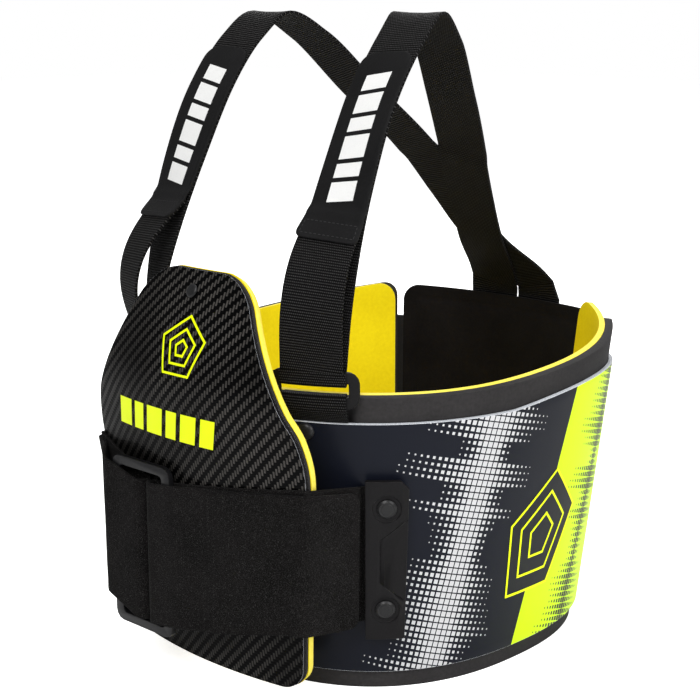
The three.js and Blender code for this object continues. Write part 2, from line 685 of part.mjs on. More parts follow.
// the first and last frames stand a part of a step inside the strap's ends
const strapSteps = 36;
const frameInset = { first: 0.35, last: 0.25 };
const frames = Array.from({ length: strapSteps }, (_, k) => {
  const turn = (k + frameInset.first) / (strapSteps + frameInset.first + frameInset.last);
  const point = strapLine.getPointAt(turn);
  const tangent = strapLine.getTangentAt(turn);
  const toSlide = THREE.MathUtils.smoothstep(turn, turnAt(shoulder.twist), 1);
  const sideways = new THREE.Vector3(1, 0, 0).lerp(slideTangent, toSlide);
  const across = sideways.addScaledVector(tangent, -sideways.dot(tangent)).normalize();
  return { turn, point, across, normal: new THREE.Vector3().crossVectors(tangent, across) };
});

// a frame between two of the strap's own, on its flat facet there
function frameOnFacet(turn) {
  const next = frames.findIndex((frame) => frame.turn >= turn);
  const [low, high] = [frames[next - 1], frames[next]];
  const share = (turn - low.turn) / (high.turn - low.turn);
  const mix = (key) => low[key].clone().lerp(high[key], share);
  return { turn, point: mix('point'), across: mix('across'), normal: mix('normal') };
}
const frameStation = (frame, sign, lift, width) => (share) => {
  const point = frame.point.clone().addScaledVector(frame.normal, lift).addScaledVector(frame.across, share * width);
  const ahead = (landing.y - frame.point.y) / (landing.y - slidePoint.y);
  return point.setX(sign * point.x + backShift(ahead));
};
// the two straps part where they cross: the left one passes inside
const crossingLift = (frame, sign) => {
  if (frame.turn > 0.5) return 0;
  const aside = Math.abs(frame.point.x) / webbing.width;
  return -sign * shoulder.crossing * (1 - THREE.MathUtils.smoothstep(aside, crossed.until, crossed.clear));
};
const strapGap = webbing.thickness + gap;
const slideLift = slide.depth + 2 * gap + webbing.thickness;
const doubledEnd = turnAt(shoulder.doubled);
const doubledLift = (turn, sign) => {
  const share = (1 - turn) / (1 - doubledEnd);
  const bulge = sign > 0 ? shoulder.leftBulge : shoulder.rightBulge;
  return THREE.MathUtils.lerp(slideLift, strapGap, share) + bulge * Math.sin(Math.PI * share);
};
const doubledFrames = [...frames.filter(({ turn }) => turn > doubledEnd).reverse(), frameOnFacet(doubledEnd)];

// the tab is sewn over the doubled end and lies on the strap above it
const tabFrom = shoulder.doubled - tab.sewn;
const tabTo = tabFrom + tab.length;
const ownFrames = frames.map(({ turn }) => (1 - turn) * strapLength).filter((far) => far > tabFrom && far < tabTo);
// it steps down to the strap just past the sewn part
const tabStep = { from: tab.sewn + tab.thickness, to: tab.sewn + 3 * tab.thickness };
const tabCuts = [0, tab.lowCorner / 4, tab.lowCorner, tabStep.from, tabStep.to];
const tabRounding = [tab.topCorner, tab.topCorner / 2, tab.topCorner / 5, 0];
const tabPlaces = [
  ...tabCuts.map((place) => tabFrom + place),
  ...ownFrames.filter((far) => far > tabFrom + tabStep.to + gap && far < tabTo - tab.topCorner - 1),
  ...tabRounding.map((place) => tabTo - place),
].sort((a, b) => a - b);
function tabStation(far, sign) {
  const place = far - tabFrom;
  const flare = tab.flare * (1 - THREE.MathUtils.smoothstep(place, 0, 2 * tab.sewn));
  const rounding = cornerDrop(place, tab.lowCorner) + cornerDrop(tab.length - place, tab.topCorner);
  const onDoubled = place < (tabStep.from + tabStep.to) / 2;
  const under = onDoubled ? Math.max(doubledLift(turnAt(far), sign), strapGap) : 0;
  const lift = under + gap + (webbing.thickness + tab.thickness) / 2;
  return frameStation(frameOnFacet(turnAt(far)), sign, lift, tab.width + flare - 2 * rounding);
}

for (const { name, sign } of sides) {
  const onPanel = (z) => (share) => (
    ringPoint(halfRing - shoulder.aside + sign * (landingAside - share * webbing.width), landingOut, z)
  );
  const atSlide = ({ out, z }) => (share) => ringPoint(sign * (slide.along + share * webbing.width), out, z);
  const stations = [0, 0.35, 0.7, 1].map((share) => onPanel(landingTop - shoulder.tail * (1 - share)));
  for (const frame of frames) stations.push(frameStation(frame, sign, crossingLift(frame, sign), webbing.width));
  for (const place of roundBar(upperBarZ, -1, 0)) stations.push(atSlide(place));
  for (const frame of doubledFrames) {
    stations.push(frameStation(frame, sign, doubledLift(frame.turn, sign), webbing.width));
  }
  add(`${name}_shoulder_strap`, band(stations, 5, webbing.thickness), blackWebbing);
  const tabStations = tabPlaces.map((far) => tabStation(far, sign));
  add(`${name}_strap_tab`, band(tabStations, 5, tab.thickness), blackCloth);
}

export default model;
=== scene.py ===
import bisect
import itertools
import math

import bpy
from mathutils import Matrix, Vector


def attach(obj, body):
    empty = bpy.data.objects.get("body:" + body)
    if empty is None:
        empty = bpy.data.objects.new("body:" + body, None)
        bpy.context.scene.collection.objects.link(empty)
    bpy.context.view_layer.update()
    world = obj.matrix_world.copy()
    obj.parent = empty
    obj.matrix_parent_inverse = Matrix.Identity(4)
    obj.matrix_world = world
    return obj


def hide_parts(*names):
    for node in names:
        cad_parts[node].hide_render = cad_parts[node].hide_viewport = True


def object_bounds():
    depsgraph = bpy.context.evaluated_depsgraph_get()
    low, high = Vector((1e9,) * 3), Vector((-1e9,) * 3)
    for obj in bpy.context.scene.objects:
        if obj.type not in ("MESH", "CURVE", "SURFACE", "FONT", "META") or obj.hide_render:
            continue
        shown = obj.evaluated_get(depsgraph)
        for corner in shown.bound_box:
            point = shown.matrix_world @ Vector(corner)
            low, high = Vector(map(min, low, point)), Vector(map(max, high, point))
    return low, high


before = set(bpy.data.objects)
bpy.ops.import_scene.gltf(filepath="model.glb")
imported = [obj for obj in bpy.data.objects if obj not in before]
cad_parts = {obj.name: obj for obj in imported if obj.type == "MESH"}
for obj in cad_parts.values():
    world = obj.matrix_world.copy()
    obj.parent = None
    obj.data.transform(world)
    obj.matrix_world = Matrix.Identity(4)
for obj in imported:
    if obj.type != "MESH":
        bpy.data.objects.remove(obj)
cadBox = [list(corner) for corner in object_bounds()]
print("frame loaded:", len(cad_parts), "nodes")

mm = 0.001
sides = {"left": 1, "right": -1}
up = Vector((0, 0, 1))


# small helpers for values

def mixValue(low, high, share):
    return low + (high - low) * share


def smoothStep(value, low, high):
    share = min(1, max(0, (value - low) / (high - low)))
    return share * share * (3 - 2 * share)


def cornerDrop(distance, radius):  # what a rounded corner takes off at a distance from the end
    if distance >= radius:
        return 0
    inside = radius - max(0, distance)
    return radius - math.sqrt(radius ** 2 - inside ** 2)


def spread(share, length, radius, steps, corner=8):  # closer steps in the rounded corners
    place = share * steps
    if place <= corner:
        return radius * (1 - math.cos(place / corner * math.pi / 2))
    if place >= steps - corner:
        return length - radius * (1 - math.cos((steps - place) / corner * math.pi / 2))
    return radius + (place - corner) / (steps - 2 * corner) * (length - 2 * radius)


def runLengths(points):  # the length from the first point to each
    steps = [(there - here).length for here, there in zip(points, points[1:])]
    return list(itertools.accumulate(steps, initial=0.0))


def findStep(lengths, target):  # the step that holds a length, and the share of it
    k = max(1, min(len(lengths) - 1, bisect.bisect_left(lengths, target)))
    return k, (target - lengths[k - 1]) / (lengths[k] - lengths[k - 1])


def smoothCurve(pointAt, last, place):  # through numbered points, at a place between two of them
    k = min(last - 1, int(place))
    t = place - k
    p1, p2 = pointAt(k), pointAt(k + 1)
    p0 = pointAt(k - 1) if k > 0 else p1 * 2 - p2
    p3 = pointAt(k + 2) if k + 2 <= last else p2 * 2 - p1
    near, mid, far = [max(1e-3, (b - a).length) ** 0.5 for a, b in ((p0, p1), (p1, p2), (p2, p3))]
    m1 = ((p1 - p0) / near - (p2 - p0) / (near + mid) + (p2 - p1) / mid) * mid
    m2 = ((p2 - p1) / mid - (p3 - p1) / (mid + far) + (p3 - p2) / far) * mid
    a = p1 * 2 - p2 * 2 + m1 + m2
    b = p2 * 3 - p1 * 3 - m1 * 2 - m2
    return a * t ** 3 + b * t ** 2 + m1 * t + p1


# the shells' plan, the same as in the part's source, in mm

ring = dict(halfWidth=150, front=157, back=166, roundness=2.3, taper=19.5, top=85, bottom=-85)


def ringCurve(turn):
    angle = (turn - 0.5) * 2 * math.pi
    power = 2 / ring["roundness"]
    across, ahead = math.sin(angle), math.cos(angle)
    depth = ring["front"] if ahead > 0 else ring["back"]
    x = math.copysign(abs(across) ** power, across) * ring["halfWidth"]
    y = -math.copysign(abs(ahead) ** power, ahead) * depth
    return Vector((x, y, 0))


ringSteps = 4000
ringLengths = runLengths([ringCurve(k / ringSteps) for k in range(ringSteps + 1)])
ringLength = ringLengths[-1]
halfRing = ringLength / 2


def ringNormal(point):
    depth = ring["front"] if point.y < 0 else ring["back"]
    power = ring["roundness"] - 1
    x = math.copysign((abs(point.x) / ring["halfWidth"]) ** power, point.x) / ring["halfWidth"]
    y = math.copysign((abs(point.y) / depth) ** power, point.y) / depth
    return Vector((x, y, 0)).normalized()


def ringPoint(along, outward, z):
    k, share = findStep(ringLengths, ((0.5 + along / ringLength) % 1) * ringLength)
    point = ringCurve((k - 1 + share) / ringSteps)
    lean = ring["taper"] * (z - ring["top"]) / (ring["top"] - ring["bottom"])
    point += ringNormal(point) * (outward + lean)
    return Vector((point.x, point.y, z))


def wallNormal(along):
    upper = ringPoint(along, 0, ring["top"])
    lower = ringPoint(along, 0, ring["bottom"])
    normal = (upper - lower).cross(ringPoint(along + 1, 0, ring["top"]) - upper).normalized()
    return -normal if normal.dot(ringNormal(upper)) < 0 else normal


# camera, floor and light

def addObject(name, data):
    made = bpy.data.objects.new(name, data)
    bpy.context.scene.collection.objects.link(made)
    return made


camera = dict(place=(0.7534, -0.8104, 0.3380), azimuth=44, elevation=12.3, lens=82.3, sensor=36)


def addCamera():
    data = bpy.data.cameras.new("photoCamera")
    data.lens = camera["lens"]
    data.sensor_width = camera["sensor"]
    shooter = addObject("photoCamera", data)
    azimuth, elevation = math.radians(camera["azimuth"]), math.radians(camera["elevation"])
    level = math.cos(elevation)
    back = Vector((math.sin(azimuth) * level, -math.cos(azimuth) * level, math.sin(elevation)))
    right = up.cross(back).normalized()
    turn = Matrix((right, back.cross(right), back)).transposed()
    shooter.matrix_world = Matrix.Translation(camera["place"]) @ turn.to_4x4()
    bpy.context.scene.camera = shooter


addCamera()

studio = dict(
    seen=1.0, ambient=0.27, floorSize=14, floorDrop=0.0006, floorColour=(0.92, 0.92, 0.92, 1), floorGlow=0.75,
)
lamps = [
    dict(name="keyLamp", place=(0.8, -1.6, 1.7), size=1.3, power=37),
    dict(name="sideLamp", place=(1.9, -0.1, 0.9), size=1.4, power=26),
    dict(name="topLamp", place=(0.1, 0.3, 2.0), size=1.6, power=21),
    dict(name="backLamp", place=(-1.3, 1.4, 1.2), size=1.2, power=18),
]


def addLamp(lamp):
    data = bpy.data.lights.new(lamp["name"], "AREA")
    data.energy = lamp["power"]
    data.shape = "DISK"
    data.size = lamp["size"]
    light = addObject(lamp["name"], data)
    light.location = lamp["place"]
    light.rotation_mode = "QUATERNION"
    light.rotation_quaternion = (-Vector(lamp["place"])).to_track_quat("-Z", "Y")


for lamp in lamps:
    addLamp(lamp)

world = bpy.data.worlds.new("studioWorld")
world.use_nodes = True
background = world.node_tree.nodes["Background"]
background.inputs["Color"].default_value = (1, 1, 1, 1)
lightPath = world.node_tree.nodes.new("ShaderNodeLightPath")
strength = world.node_tree.nodes.new("ShaderNodeMapRange")  # a white backdrop that lights less
strength.inputs["To Min"].default_value = studio["ambient"]
strength.inputs["To Max"].default_value = studio["seen"]
world.node_tree.links.new(lightPath.outputs["Is Camera Ray"], strength.inputs["Value"])
world.node_tree.links.new(strength.outputs[0], background.inputs["Strength"])
bpy.context.scene.world = world
bpy.context.scene.view_settings.view_transform = "Standard"

bpy.ops.object.select_all(action="DESELECT")
floorHeight = cadBox[0][2] - studio["floorDrop"]
bpy.ops.mesh.primitive_plane_add(size=studio["floorSize"], location=(0, 0, floorHeight))
floor = bpy.context.object
floor.name = "studio_floor"
print("camera, lamps and floor ready")


# node helpers: a wire is a node's output, and sums and products of wires add Math nodes

class Wire:
    def __init__(self, tree, socket):
        self.tree, self.socket = tree, socket

    def calc(self, operation, *others):
        return addNode(self.tree, "ShaderNodeMath", dict(enumerate((self, *others))), operation=operation)

    def __add__(self, other):
        return self.calc("ADD", other)

    def __sub__(self, other):
        return self.calc("SUBTRACT", other)

    def __rsub__(self, other):
        return self * -1.0 + other

    def __mul__(self, other):
        return self.calc("MULTIPLY", other)

    def __truediv__(self, other):
        return self.calc("DIVIDE", other)

    def __abs__(self):
        return self.calc("ABSOLUTE")

    def floor(self):
        return self.calc("FLOOR")

    def span(self, fromMin, fromMax, toMin=0.0, toMax=1.0):
        inputs = {0: self, 1: fromMin, 2: fromMax, 3: toMin, 4: toMax}
        return addNode(self.tree, "ShaderNodeMapRange", inputs)

    def mix(self, first, second):  # a colour between two, by this wire's share
        colours = [value if isinstance(value, Wire) else (*value, 1) for value in (first, second)]
        inputs = {0: self, 6: colours[0], 7: colours[1]}
        return addNode(self.tree, "ShaderNodeMix", inputs, 2, data_type="RGBA")

    def bump(self, distance, strength, under=None):
        inputs = {"Height": self, "Distance": distance, "Strength": strength}
        if under:
            inputs["Normal"] = under
        return addNode(self.tree, "ShaderNodeBump", inputs)

    def into(self, socket):
        self.tree.links.new(self.socket, socket)


def addNode(tree, kind, inputs=None, output=0, **settings):
    node = tree.nodes.new(kind)
    for key, value in settings.items():
        setattr(node, key, value)
    for key, value in (inputs or {}).items():
        if isinstance(value, Wire):
            value.into(node.inputs[key])
        else:
            node.inputs[key].default_value = value
    return Wire(tree, node.outputs[output])


def wires(tree, sockets):
    return {socket.name: Wire(tree, socket) for socket in sockets}


def noise(place, scale, detail):
    inputs = {"Vector": place, "Scale": scale, "Detail": detail}
    return addNode(place.tree, "ShaderNodeTexNoise", inputs, "Fac")


def splitPlace(place):
    return wires(place.tree, addNode(place.tree, "ShaderNodeSeparateXYZ", {0: place}).socket.node.outputs)


def objectPlace(tree):
    return addNode(tree, "ShaderNodeTexCoord", output="Object")


def surfacePlace(tree):  # the piece's own UV map, in metres along and across it
    return addNode(tree, "ShaderNodeUVMap", uv_map="surface")


def newGroup(name, inputs, outputs):
    tree = bpy.data.node_groups.new(name, "ShaderNodeTree")
    for label, value in inputs.items():
        kind = "NodeSocketVector" if value is None else "NodeSocketFloat"
        socket = tree.interface.new_socket(name=label, in_out="INPUT", socket_type=kind)
        if value is not None:
            socket.default_value = value
    for label in outputs:
        tree.interface.new_socket(name=label, in_out="OUTPUT", socket_type="NodeSocketFloat")
    given = wires(tree, tree.nodes.new("NodeGroupInput").outputs)
    return tree, given, tree.nodes.new("NodeGroupOutput").inputs


def useGroup(tree, group, **inputs):
    return wires(tree, addNode(tree, "ShaderNodeGroup", inputs, node_tree=group).socket.node.outputs)


def makeGrainGroup():  # two sizes of soft specks
    tree, given, result = newGroup("grain", {"Vector": None, "Scale": 900.0}, ["Value", "Fine"])
    broad = noise(given["Vector"], given["Scale"], 3.0)
    fine = noise(given["Vector"], given["Scale"] * 4.3, 2.0)
    (fine * 0.4 + broad * 0.6).into(result["Value"])
    fine.into(result["Fine"])
    return tree


def makeRibsGroup():  # woven webbing: ribs across the length, yarns along it
    tree, given, result = newGroup("wovenRibs", {"Vector": None, "Rib": 0.0019, "Yarn": 0.0011}, ["Height"])
    place = splitPlace(given["Vector"])
    along = place["X"] / given["Rib"]
    stepped = along.floor() * 0.5 + place["Y"] / given["Yarn"]
    ribWave, yarnWave = [abs((value * math.pi).calc("SINE")) for value in (along, stepped)]
    (ribWave * (yarnWave * 0.6 + 0.4)).into(result["Height"])
    return tree


def makeTwillGroup():  # two by two twill of flat tows, its lines rising to the right
    tree, given, result = newGroup("twill", {"Vector": None, "Tow": 0.0025}, ["Warp", "Height"])
    place = splitPlace(given["Vector"])
    across, along = place["X"] / given["Tow"], place["Y"] / given["Tow"]
    warp = (across.floor() - along.floor()).calc("FLOORED_MODULO", 4.0).calc("LESS_THAN", 1.5)

    def crown(value):
        return 1.0 - abs(value.calc("FRACT") * 2.0 - 1.0).calc("POWER", 3.0)

    warp.into(result["Warp"])
    (crown(across) * warp + crown(along) * (1.0 - warp)).into(result["Height"])
    return tree


def makeDotGroup():  # square dots on a slanted grid, each cell with one size
    given = {"Across": 0.0, "Along": 0.0, "Pitch": 0.003}
    tree, given, result = newGroup("dotScreen", given, ["CellAcross", "CellAlong", "Reach"])
    reach = []
    for label in ("Across", "Along"):
        cell = given[label] / given["Pitch"]
        ((cell.floor() + 0.5) * given["Pitch"]).into(result["Cell" + label])
        reach.append(abs(cell.calc("FRACT") - 0.5) * 2.0)
    reach[0].calc("MAXIMUM", reach[1]).into(result["Reach"])
    return tree


def makeWearGroup():  # worn outer edges, broken up by specks
    tree, given, result = newGroup("edgeWear", {"Vector": None, "Amount": 0.5}, ["Mask"])
    facing = addNode(tree, "ShaderNodeNewGeometry", output="Normal")
    rounded = addNode(tree, "ShaderNodeBevel", {"Radius": 0.0007}, samples=4)
    agree = addNode(tree, "ShaderNodeVectorMath", {0: facing, 1: rounded}, "Value", operation="DOT_PRODUCT")
    broken = noise(given["Vector"], 260.0, 4.0).span(0.42, 0.62)
    (agree.span(0.985, 0.88) * broken * given["Amount"]).into(result["Mask"])
    return tree


grainGroup = makeGrainGroup()
ribsGroup = makeRibsGroup()
twillGroup = makeTwillGroup()
dotGroup = makeDotGroup()
wearGroup = makeWearGroup()


# materials

shaderInputs = dict(
    shine="Specular IOR Level", coat="Coat Weight", coatRough="Coat Roughness", sheen="Sheen Weight",
)


def newMaterial(name, **values):
    material = bpy.data.materials.new(name)
    material.use_nodes = True
    shader = material.node_tree.nodes["Principled BSDF"].inputs
    for key, value in values.items():
        shader[shaderInputs[key]].default_value = value
    return material, material.node_tree, shader


def makeFoam(name, dark, light, worn, shine=0.12):
    material, tree, shader = newMaterial(name, shine=shine)
    place = objectPlace(tree)
    grain = useGroup(tree, grainGroup, Vector=place, Scale=420.0)
    tone = noise(place, 18.0, 3.0) * 0.45 + grain["Value"] * 0.55
    wear = useGroup(tree, wearGroup, Vector=place, Amount=0.35)
    wear["Mask"].mix(tone.span(0.36, 0.64).mix(dark, light), worn).into(shader["Base Color"])
    grain["Fine"].span(0.3, 0.7, 0.72, 0.92).into(shader["Roughness"])
    cells = addNode(tree, "ShaderNodeTexVoronoi", {"Vector": place, "Scale": 1400.0}, "Distance")
    grain["Value"].bump(0.00025, 0.5, cells.bump(0.00006, 0.35)).into(shader["Normal"])
    return material


blackFoam = makeFoam("blackFoam", (0.012, 0.0112, 0.0115), (0.026, 0.024, 0.0245), (0.055, 0.052, 0.05), 0.25)
yellowFoam = makeFoam("yellowFoam", (0.74, 0.575, 0.003), (0.85, 0.69, 0.006), (0.95, 0.85, 0.12))
yellowCut = makeFoam("yellowCut", (0.8, 0.65, 0.06), (0.92, 0.78, 0.13), (0.97, 0.88, 0.25))


def makeCloth(name, dark, light, rough, knit, shine=0.06, fuzz=0.0):
    material, tree, shader = newMaterial(name, sheen=0.015, shine=shine)
    place = objectPlace(tree)
    grain = useGroup(tree, grainGroup, Vector=place, Scale=650.0)
    tone = noise(place, 26.0, 4.0) * 0.4 + grain["Value"] * 0.6
    lint = grain["Fine"].span(0.6, 0.7, 0.0, fuzz)
    lint.mix(tone.span(0.38, 0.62).mix(dark, light), (0.09, 0.087, 0.084)).into(shader["Base Color"])
    grain["Value"].span(0.3, 0.7, rough - 0.08, rough + 0.08).into(shader["Roughness"])
    weave = useGroup(tree, ribsGroup, Vector=surfacePlace(tree), Rib=knit, Yarn=knit)
    grain["Value"].bump(0.0003, 0.45, weave["Height"].bump(0.00012, 0.4)).into(shader["Normal"])
    return material


panelCloth = makeCloth("panelCloth", (0.0035, 0.003, 0.003), (0.0085, 0.0075, 0.0073), 0.88, 0.0007)
tabCloth = makeCloth("tabCloth", (0.003, 0.003, 0.0032), (0.0068, 0.0066, 0.007), 0.6, 0.0006, 0.1)
elasticCloth = makeCloth(
    "elasticCloth", (0.0022, 0.0021, 0.002), (0.007, 0.0064, 0.0063), 0.9, 0.0009, shine=0.03, fuzz=0.8,
)


def makeWebbing():
    material, tree, shader = newMaterial("ribbedWebbing", sheen=0.005, shine=0.06)
    weave = useGroup(tree, ribsGroup, Vector=surfacePlace(tree), Rib=0.0017, Yarn=0.0013)
    grain = useGroup(tree, grainGroup, Vector=objectPlace(tree), Scale=700.0)
    # the rib crests are painted light and the hollows between them painted dark: painted highlights and
    # painted shade on the weave, besides its bump
    paintedCrestLight = weave["Height"].calc("POWER", 4.0) * grain["Value"].span(0.35, 0.65, 0.5, 1.0)
    paintedCrestLight.mix((0.0005, 0.0005, 0.0005), (0.062, 0.06, 0.06)).into(shader["Base Color"])
    weave["Height"].span(0.0, 1.0, 0.85, 0.58).into(shader["Roughness"])
    weave["Height"].bump(0.0006, 0.9, grain["Fine"].bump(0.0001, 0.4)).into(shader["Normal"])
    return material


ribbedWebbing = makeWebbing()


def makePlastic(name, dark, light, rough, shine=0.1, worn=0.4, scale=900.0):
    material, tree, shader = newMaterial(name, shine=shine)
    place = objectPlace(tree)
    grain = useGroup(tree, grainGroup, Vector=place, Scale=scale)
    base = grain["Value"].span(0.35, 0.65).mix(dark, light)
    wear = useGroup(tree, wearGroup, Vector=place, Amount=worn)
    wear["Mask"].mix(base, (0.075, 0.073, 0.071)).into(shader["Base Color"])
    grain["Value"].span(0.3, 0.7, rough - 0.07, rough + 0.07).into(shader["Roughness"])
    grain["Value"].bump(0.00008, 0.5).into(shader["Normal"])
    return material


mouldedPlastic = makePlastic("mouldedPlastic", (0.0055, 0.0052, 0.0056), (0.0085, 0.008, 0.0085), 0.44)
bucklePlastic = makePlastic(
    "bucklePlastic", (0.005, 0.005, 0.0056), (0.008, 0.0078, 0.0086), 0.34, shine=0.2, worn=0.12,
)
rivetPlastic = makePlastic(
    "rivetPlastic", (0.0085, 0.0085, 0.009), (0.014, 0.014, 0.0145), 0.33, shine=0.22, worn=0.35, scale=1200,
)
shellInside = makePlastic("shellInside", (0.014, 0.014, 0.015), (0.022, 0.022, 0.024), 0.5)


def makeCarbon():
    material, tree, shader = newMaterial("carbonTwill", coat=0.06, coatRough=0.14, shine=0.02)
    twill = useGroup(tree, twillGroup, Vector=surfacePlace(tree), Tow=0.0021)
    place = objectPlace(tree)
    # the tows' crowns are painted light, and the warp tows painted bright against near-black weft tows: a
    # painted sheen where light catches one tow direction, and painted shade on the other
    paintedCrestLight = twill["Height"].calc("POWER", 3.0) * noise(place, 11.0, 1.0).span(0.38, 0.62, 0.35, 1.0)
    tone = paintedCrestLight * noise(place, 900.0, 3.0).span(0.3, 0.7, 0.6, 1.0)
    warpPaintedSheen = tone.mix((0.0006, 0.0006, 0.0006), (0.072, 0.067, 0.062))
    weftPaintedShade = tone.mix((0.0003, 0.0003, 0.0003), (0.0012, 0.0012, 0.0013))
    twill["Warp"].mix(weftPaintedShade, warpPaintedSheen).into(shader["Base Color"])
    twill["Warp"].span(0.0, 1.0, 0.55, 0.34).into(shader["Roughness"])
    twill["Height"].bump(0.0003, 0.5).into(shader["Normal"])
    return material


carbonTwill = makeCarbon()

printArt = dict(  # metres on the shell: the slanted edge, the dot screen and its bands
    edgeAlong=0.2577, slant=0.237, pitch=0.0043, palePlace=-0.074, paleSolid=0.006,
    paleFadeFront=0.052, paleFadeBack=0.034, darkPlace=0.062, darkFade=0.036, finger=0.0102,
)


def makeShellPrint():
    material, tree, shader = newMaterial("shellPrint", shine=0.1, coat=0.04, coatRough=0.2)
    art = printArt
    place = splitPlace(surfacePlace(tree))
    length = math.sqrt(1 + art["slant"] ** 2)
    level = place["X"] - art["edgeAlong"]
    across = (level - place["Y"] * art["slant"]) / length
    along = (level * art["slant"] + place["Y"]) / length
    dots = useGroup(tree, dotGroup, Across=across, Along=along, Pitch=art["pitch"])
    # the bands' edges run out in fingers of uneven length
    fingerRow = (dots["CellAlong"] / art["finger"]).floor()
    uneven = addNode(tree, "ShaderNodeTexWhiteNoise", {"W": fingerRow}, "Value", noise_dimensions="1D")
    reachOut = uneven.span(0.0, 1.0, 0.35, 1.25)
    fromPale = dots["CellAcross"] - art["palePlace"]
    ahead = (fromPale * -1.0 - art["paleSolid"]) / (reachOut * art["paleFadeFront"])
    behind = (fromPale - art["paleSolid"]) / (reachOut * art["paleFadeBack"])
    darkFade = abs(dots["CellAcross"] - art["darkPlace"]) / (reachOut * art["darkFade"])

    def dotMask(fade, largest, least):
        inDot = dots["Reach"].calc("LESS_THAN", fade.span(0.0, 1.0, largest, least))
        return inDot * fade.calc("LESS_THAN", 1.0)

    ground = noise(objectPlace(tree), 9.0, 2.0).mix((0.0034, 0.0042, 0.0078), (0.006, 0.0075, 0.0135))
    darkPart = dotMask(ahead.calc("MAXIMUM", behind), 0.81, 0.16).mix(ground, (0.52, 0.52, 0.53))
    neonPart = dotMask(darkFade, 0.95, 0.2).mix((0.58, 0.9, 0.0), (0.009, 0.011, 0.010))
    across.calc("GREATER_THAN", 0.0).mix(darkPart, neonPart).into(shader["Base Color"])
    grain = useGroup(tree, grainGroup, Vector=objectPlace(tree), Scale=1100.0)
    grain["Value"].span(0.3, 0.7, 0.34, 0.46).into(shader["Roughness"])
    grain["Value"].bump(0.00006, 0.4).into(shader["Normal"])
    return material


def makeEdge(name, dark, light):  # pale silver edge with bright flecks: the shell's cut edge, and a painted highlight on the carbon plate's rounded edge
    material, tree, shader = newMaterial(name)
    grain = useGroup(tree, grainGroup, Vector=objectPlace(tree), Scale=700.0)
    grain["Fine"].span(0.4, 0.62).mix(dark, light).into(shader["Base Color"])
    grain["Value"].span(0.3, 0.7, 0.3, 0.5).into(shader["Roughness"])
    grain["Value"].bump(0.0001, 0.6).into(shader["Normal"])
    return material


shellPrint = makeShellPrint()
silverEdgeAndPaintedHighlight = makeEdge("silverEdgeAndPaintedHighlight", (0.3, 0.32, 0.35), (0.72, 0.74, 0.78))


def makeInk(name, base, worn, rough=0.45):
    material, tree, shader = newMaterial(name, shine=0.15)
    grain = useGroup(tree, grainGroup, Vector=objectPlace(tree), Scale=1300.0)
    grain["Value"].span(0.5, 0.72, 0.0, 0.45).mix(base, worn).into(shader["Base Color"])
    grain["Fine"].span(0.3, 0.7, rough - 0.06, rough + 0.06).into(shader["Roughness"])
    grain["Value"].bump(0.00004, 0.4).into(shader["Normal"])
    return material


neonInk = makeInk("neonInk", (0.8, 0.95, 0.0), (0.66, 0.8, 0.0))
darkInk = makeInk("darkInk", (0.006, 0.0065, 0.009), (0.011, 0.012, 0.015))
whiteInk = makeInk("whiteInk", (0.7, 0.7, 0.69), (0.54, 0.54, 0.53))
threadBlack = makeInk("threadBlack", (0.022, 0.022, 0.022), (0.05, 0.05, 0.05), 0.6)

floorMaterial, floorTree, floorShader = newMaterial("floorMaterial")
floorShader["Base Color"].default_value = studio["floorColour"]
floorShader["Roughness"].default_value = 0.8
floorShader["Emission Color"].default_value = (1, 1, 1, 1)
seenFloor = addNode(floorTree, "ShaderNodeLightPath", output="Is Camera Ray")
(seenFloor * studio["floorGlow"]).into(floorShader["Emission Strength"])
floor.data.materials.append(floorMaterial)
print("materials ready:", len(bpy.data.materials))


# mesh helpers

def choose(*pieces):  # the first becomes the active one
    bpy.ops.object.select_all(action="DESELECT")
    for piece in pieces:
        piece.select_set(True)
    bpy.context.view_layer.objects.active = pieces[0]


def madePiece(name):  # names what an operator has just made
    piece = bpy.context.object
    piece.name = piece.data.name = name
    return piece


def joinPieces(pieces, name):
    choose(*pieces)
    bpy.ops.object.join()
    return madePiece(name)


def editMesh(piece, *steps):  # runs mesh operators on the whole piece
    choose(piece)
    bpy.ops.object.mode_set(mode="EDIT")
    bpy.ops.mesh.select_mode(type="FACE")
    bpy.ops.mesh.select_all(action="SELECT")
    for step in steps:
        step()
    bpy.ops.object.mode_set(mode="OBJECT")


def useModifier(piece, kind, **settings):
    choose(piece)
    modifier = piece.modifiers.new(kind.lower(), kind)
    for key, value in settings.items():
        setattr(modifier, key, value)
    bpy.ops.object.modifier_apply(modifier=modifier.name)


def smooth(piece, angle=40):
    choose(piece)
    bpy.ops.object.shade_smooth_by_angle(angle=math.radians(angle))


def roundEdges(piece, width, segments=3, angle=50, smoothAngle=40, material=-1):
    useModifier(
        piece, "BEVEL", width=width * mm, segments=segments, limit_method="ANGLE",
        angle_limit=math.radians(angle), material=material,
    )
    smooth(piece, smoothAngle)


def paint(piece, *materials):
    piece.data.materials.clear()
    for material in materials:
        piece.data.materials.append(material)


def settle(piece, slot, *nodes, look=None):
    if look:
        paint(piece, look)
    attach(piece, "root")
    if nodes:
        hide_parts(*nodes)
    return piece


def facesOutward(piece):  # turns an open sheet so that it looks away from the part's middle line
    total = 0
    for face in piece.data.polygons:
        total += Vector((face.center.x, face.center.y, 0)).dot(face.normal) * face.area
    if total < 0:
        editMesh(piece, bpy.ops.mesh.flip_normals)


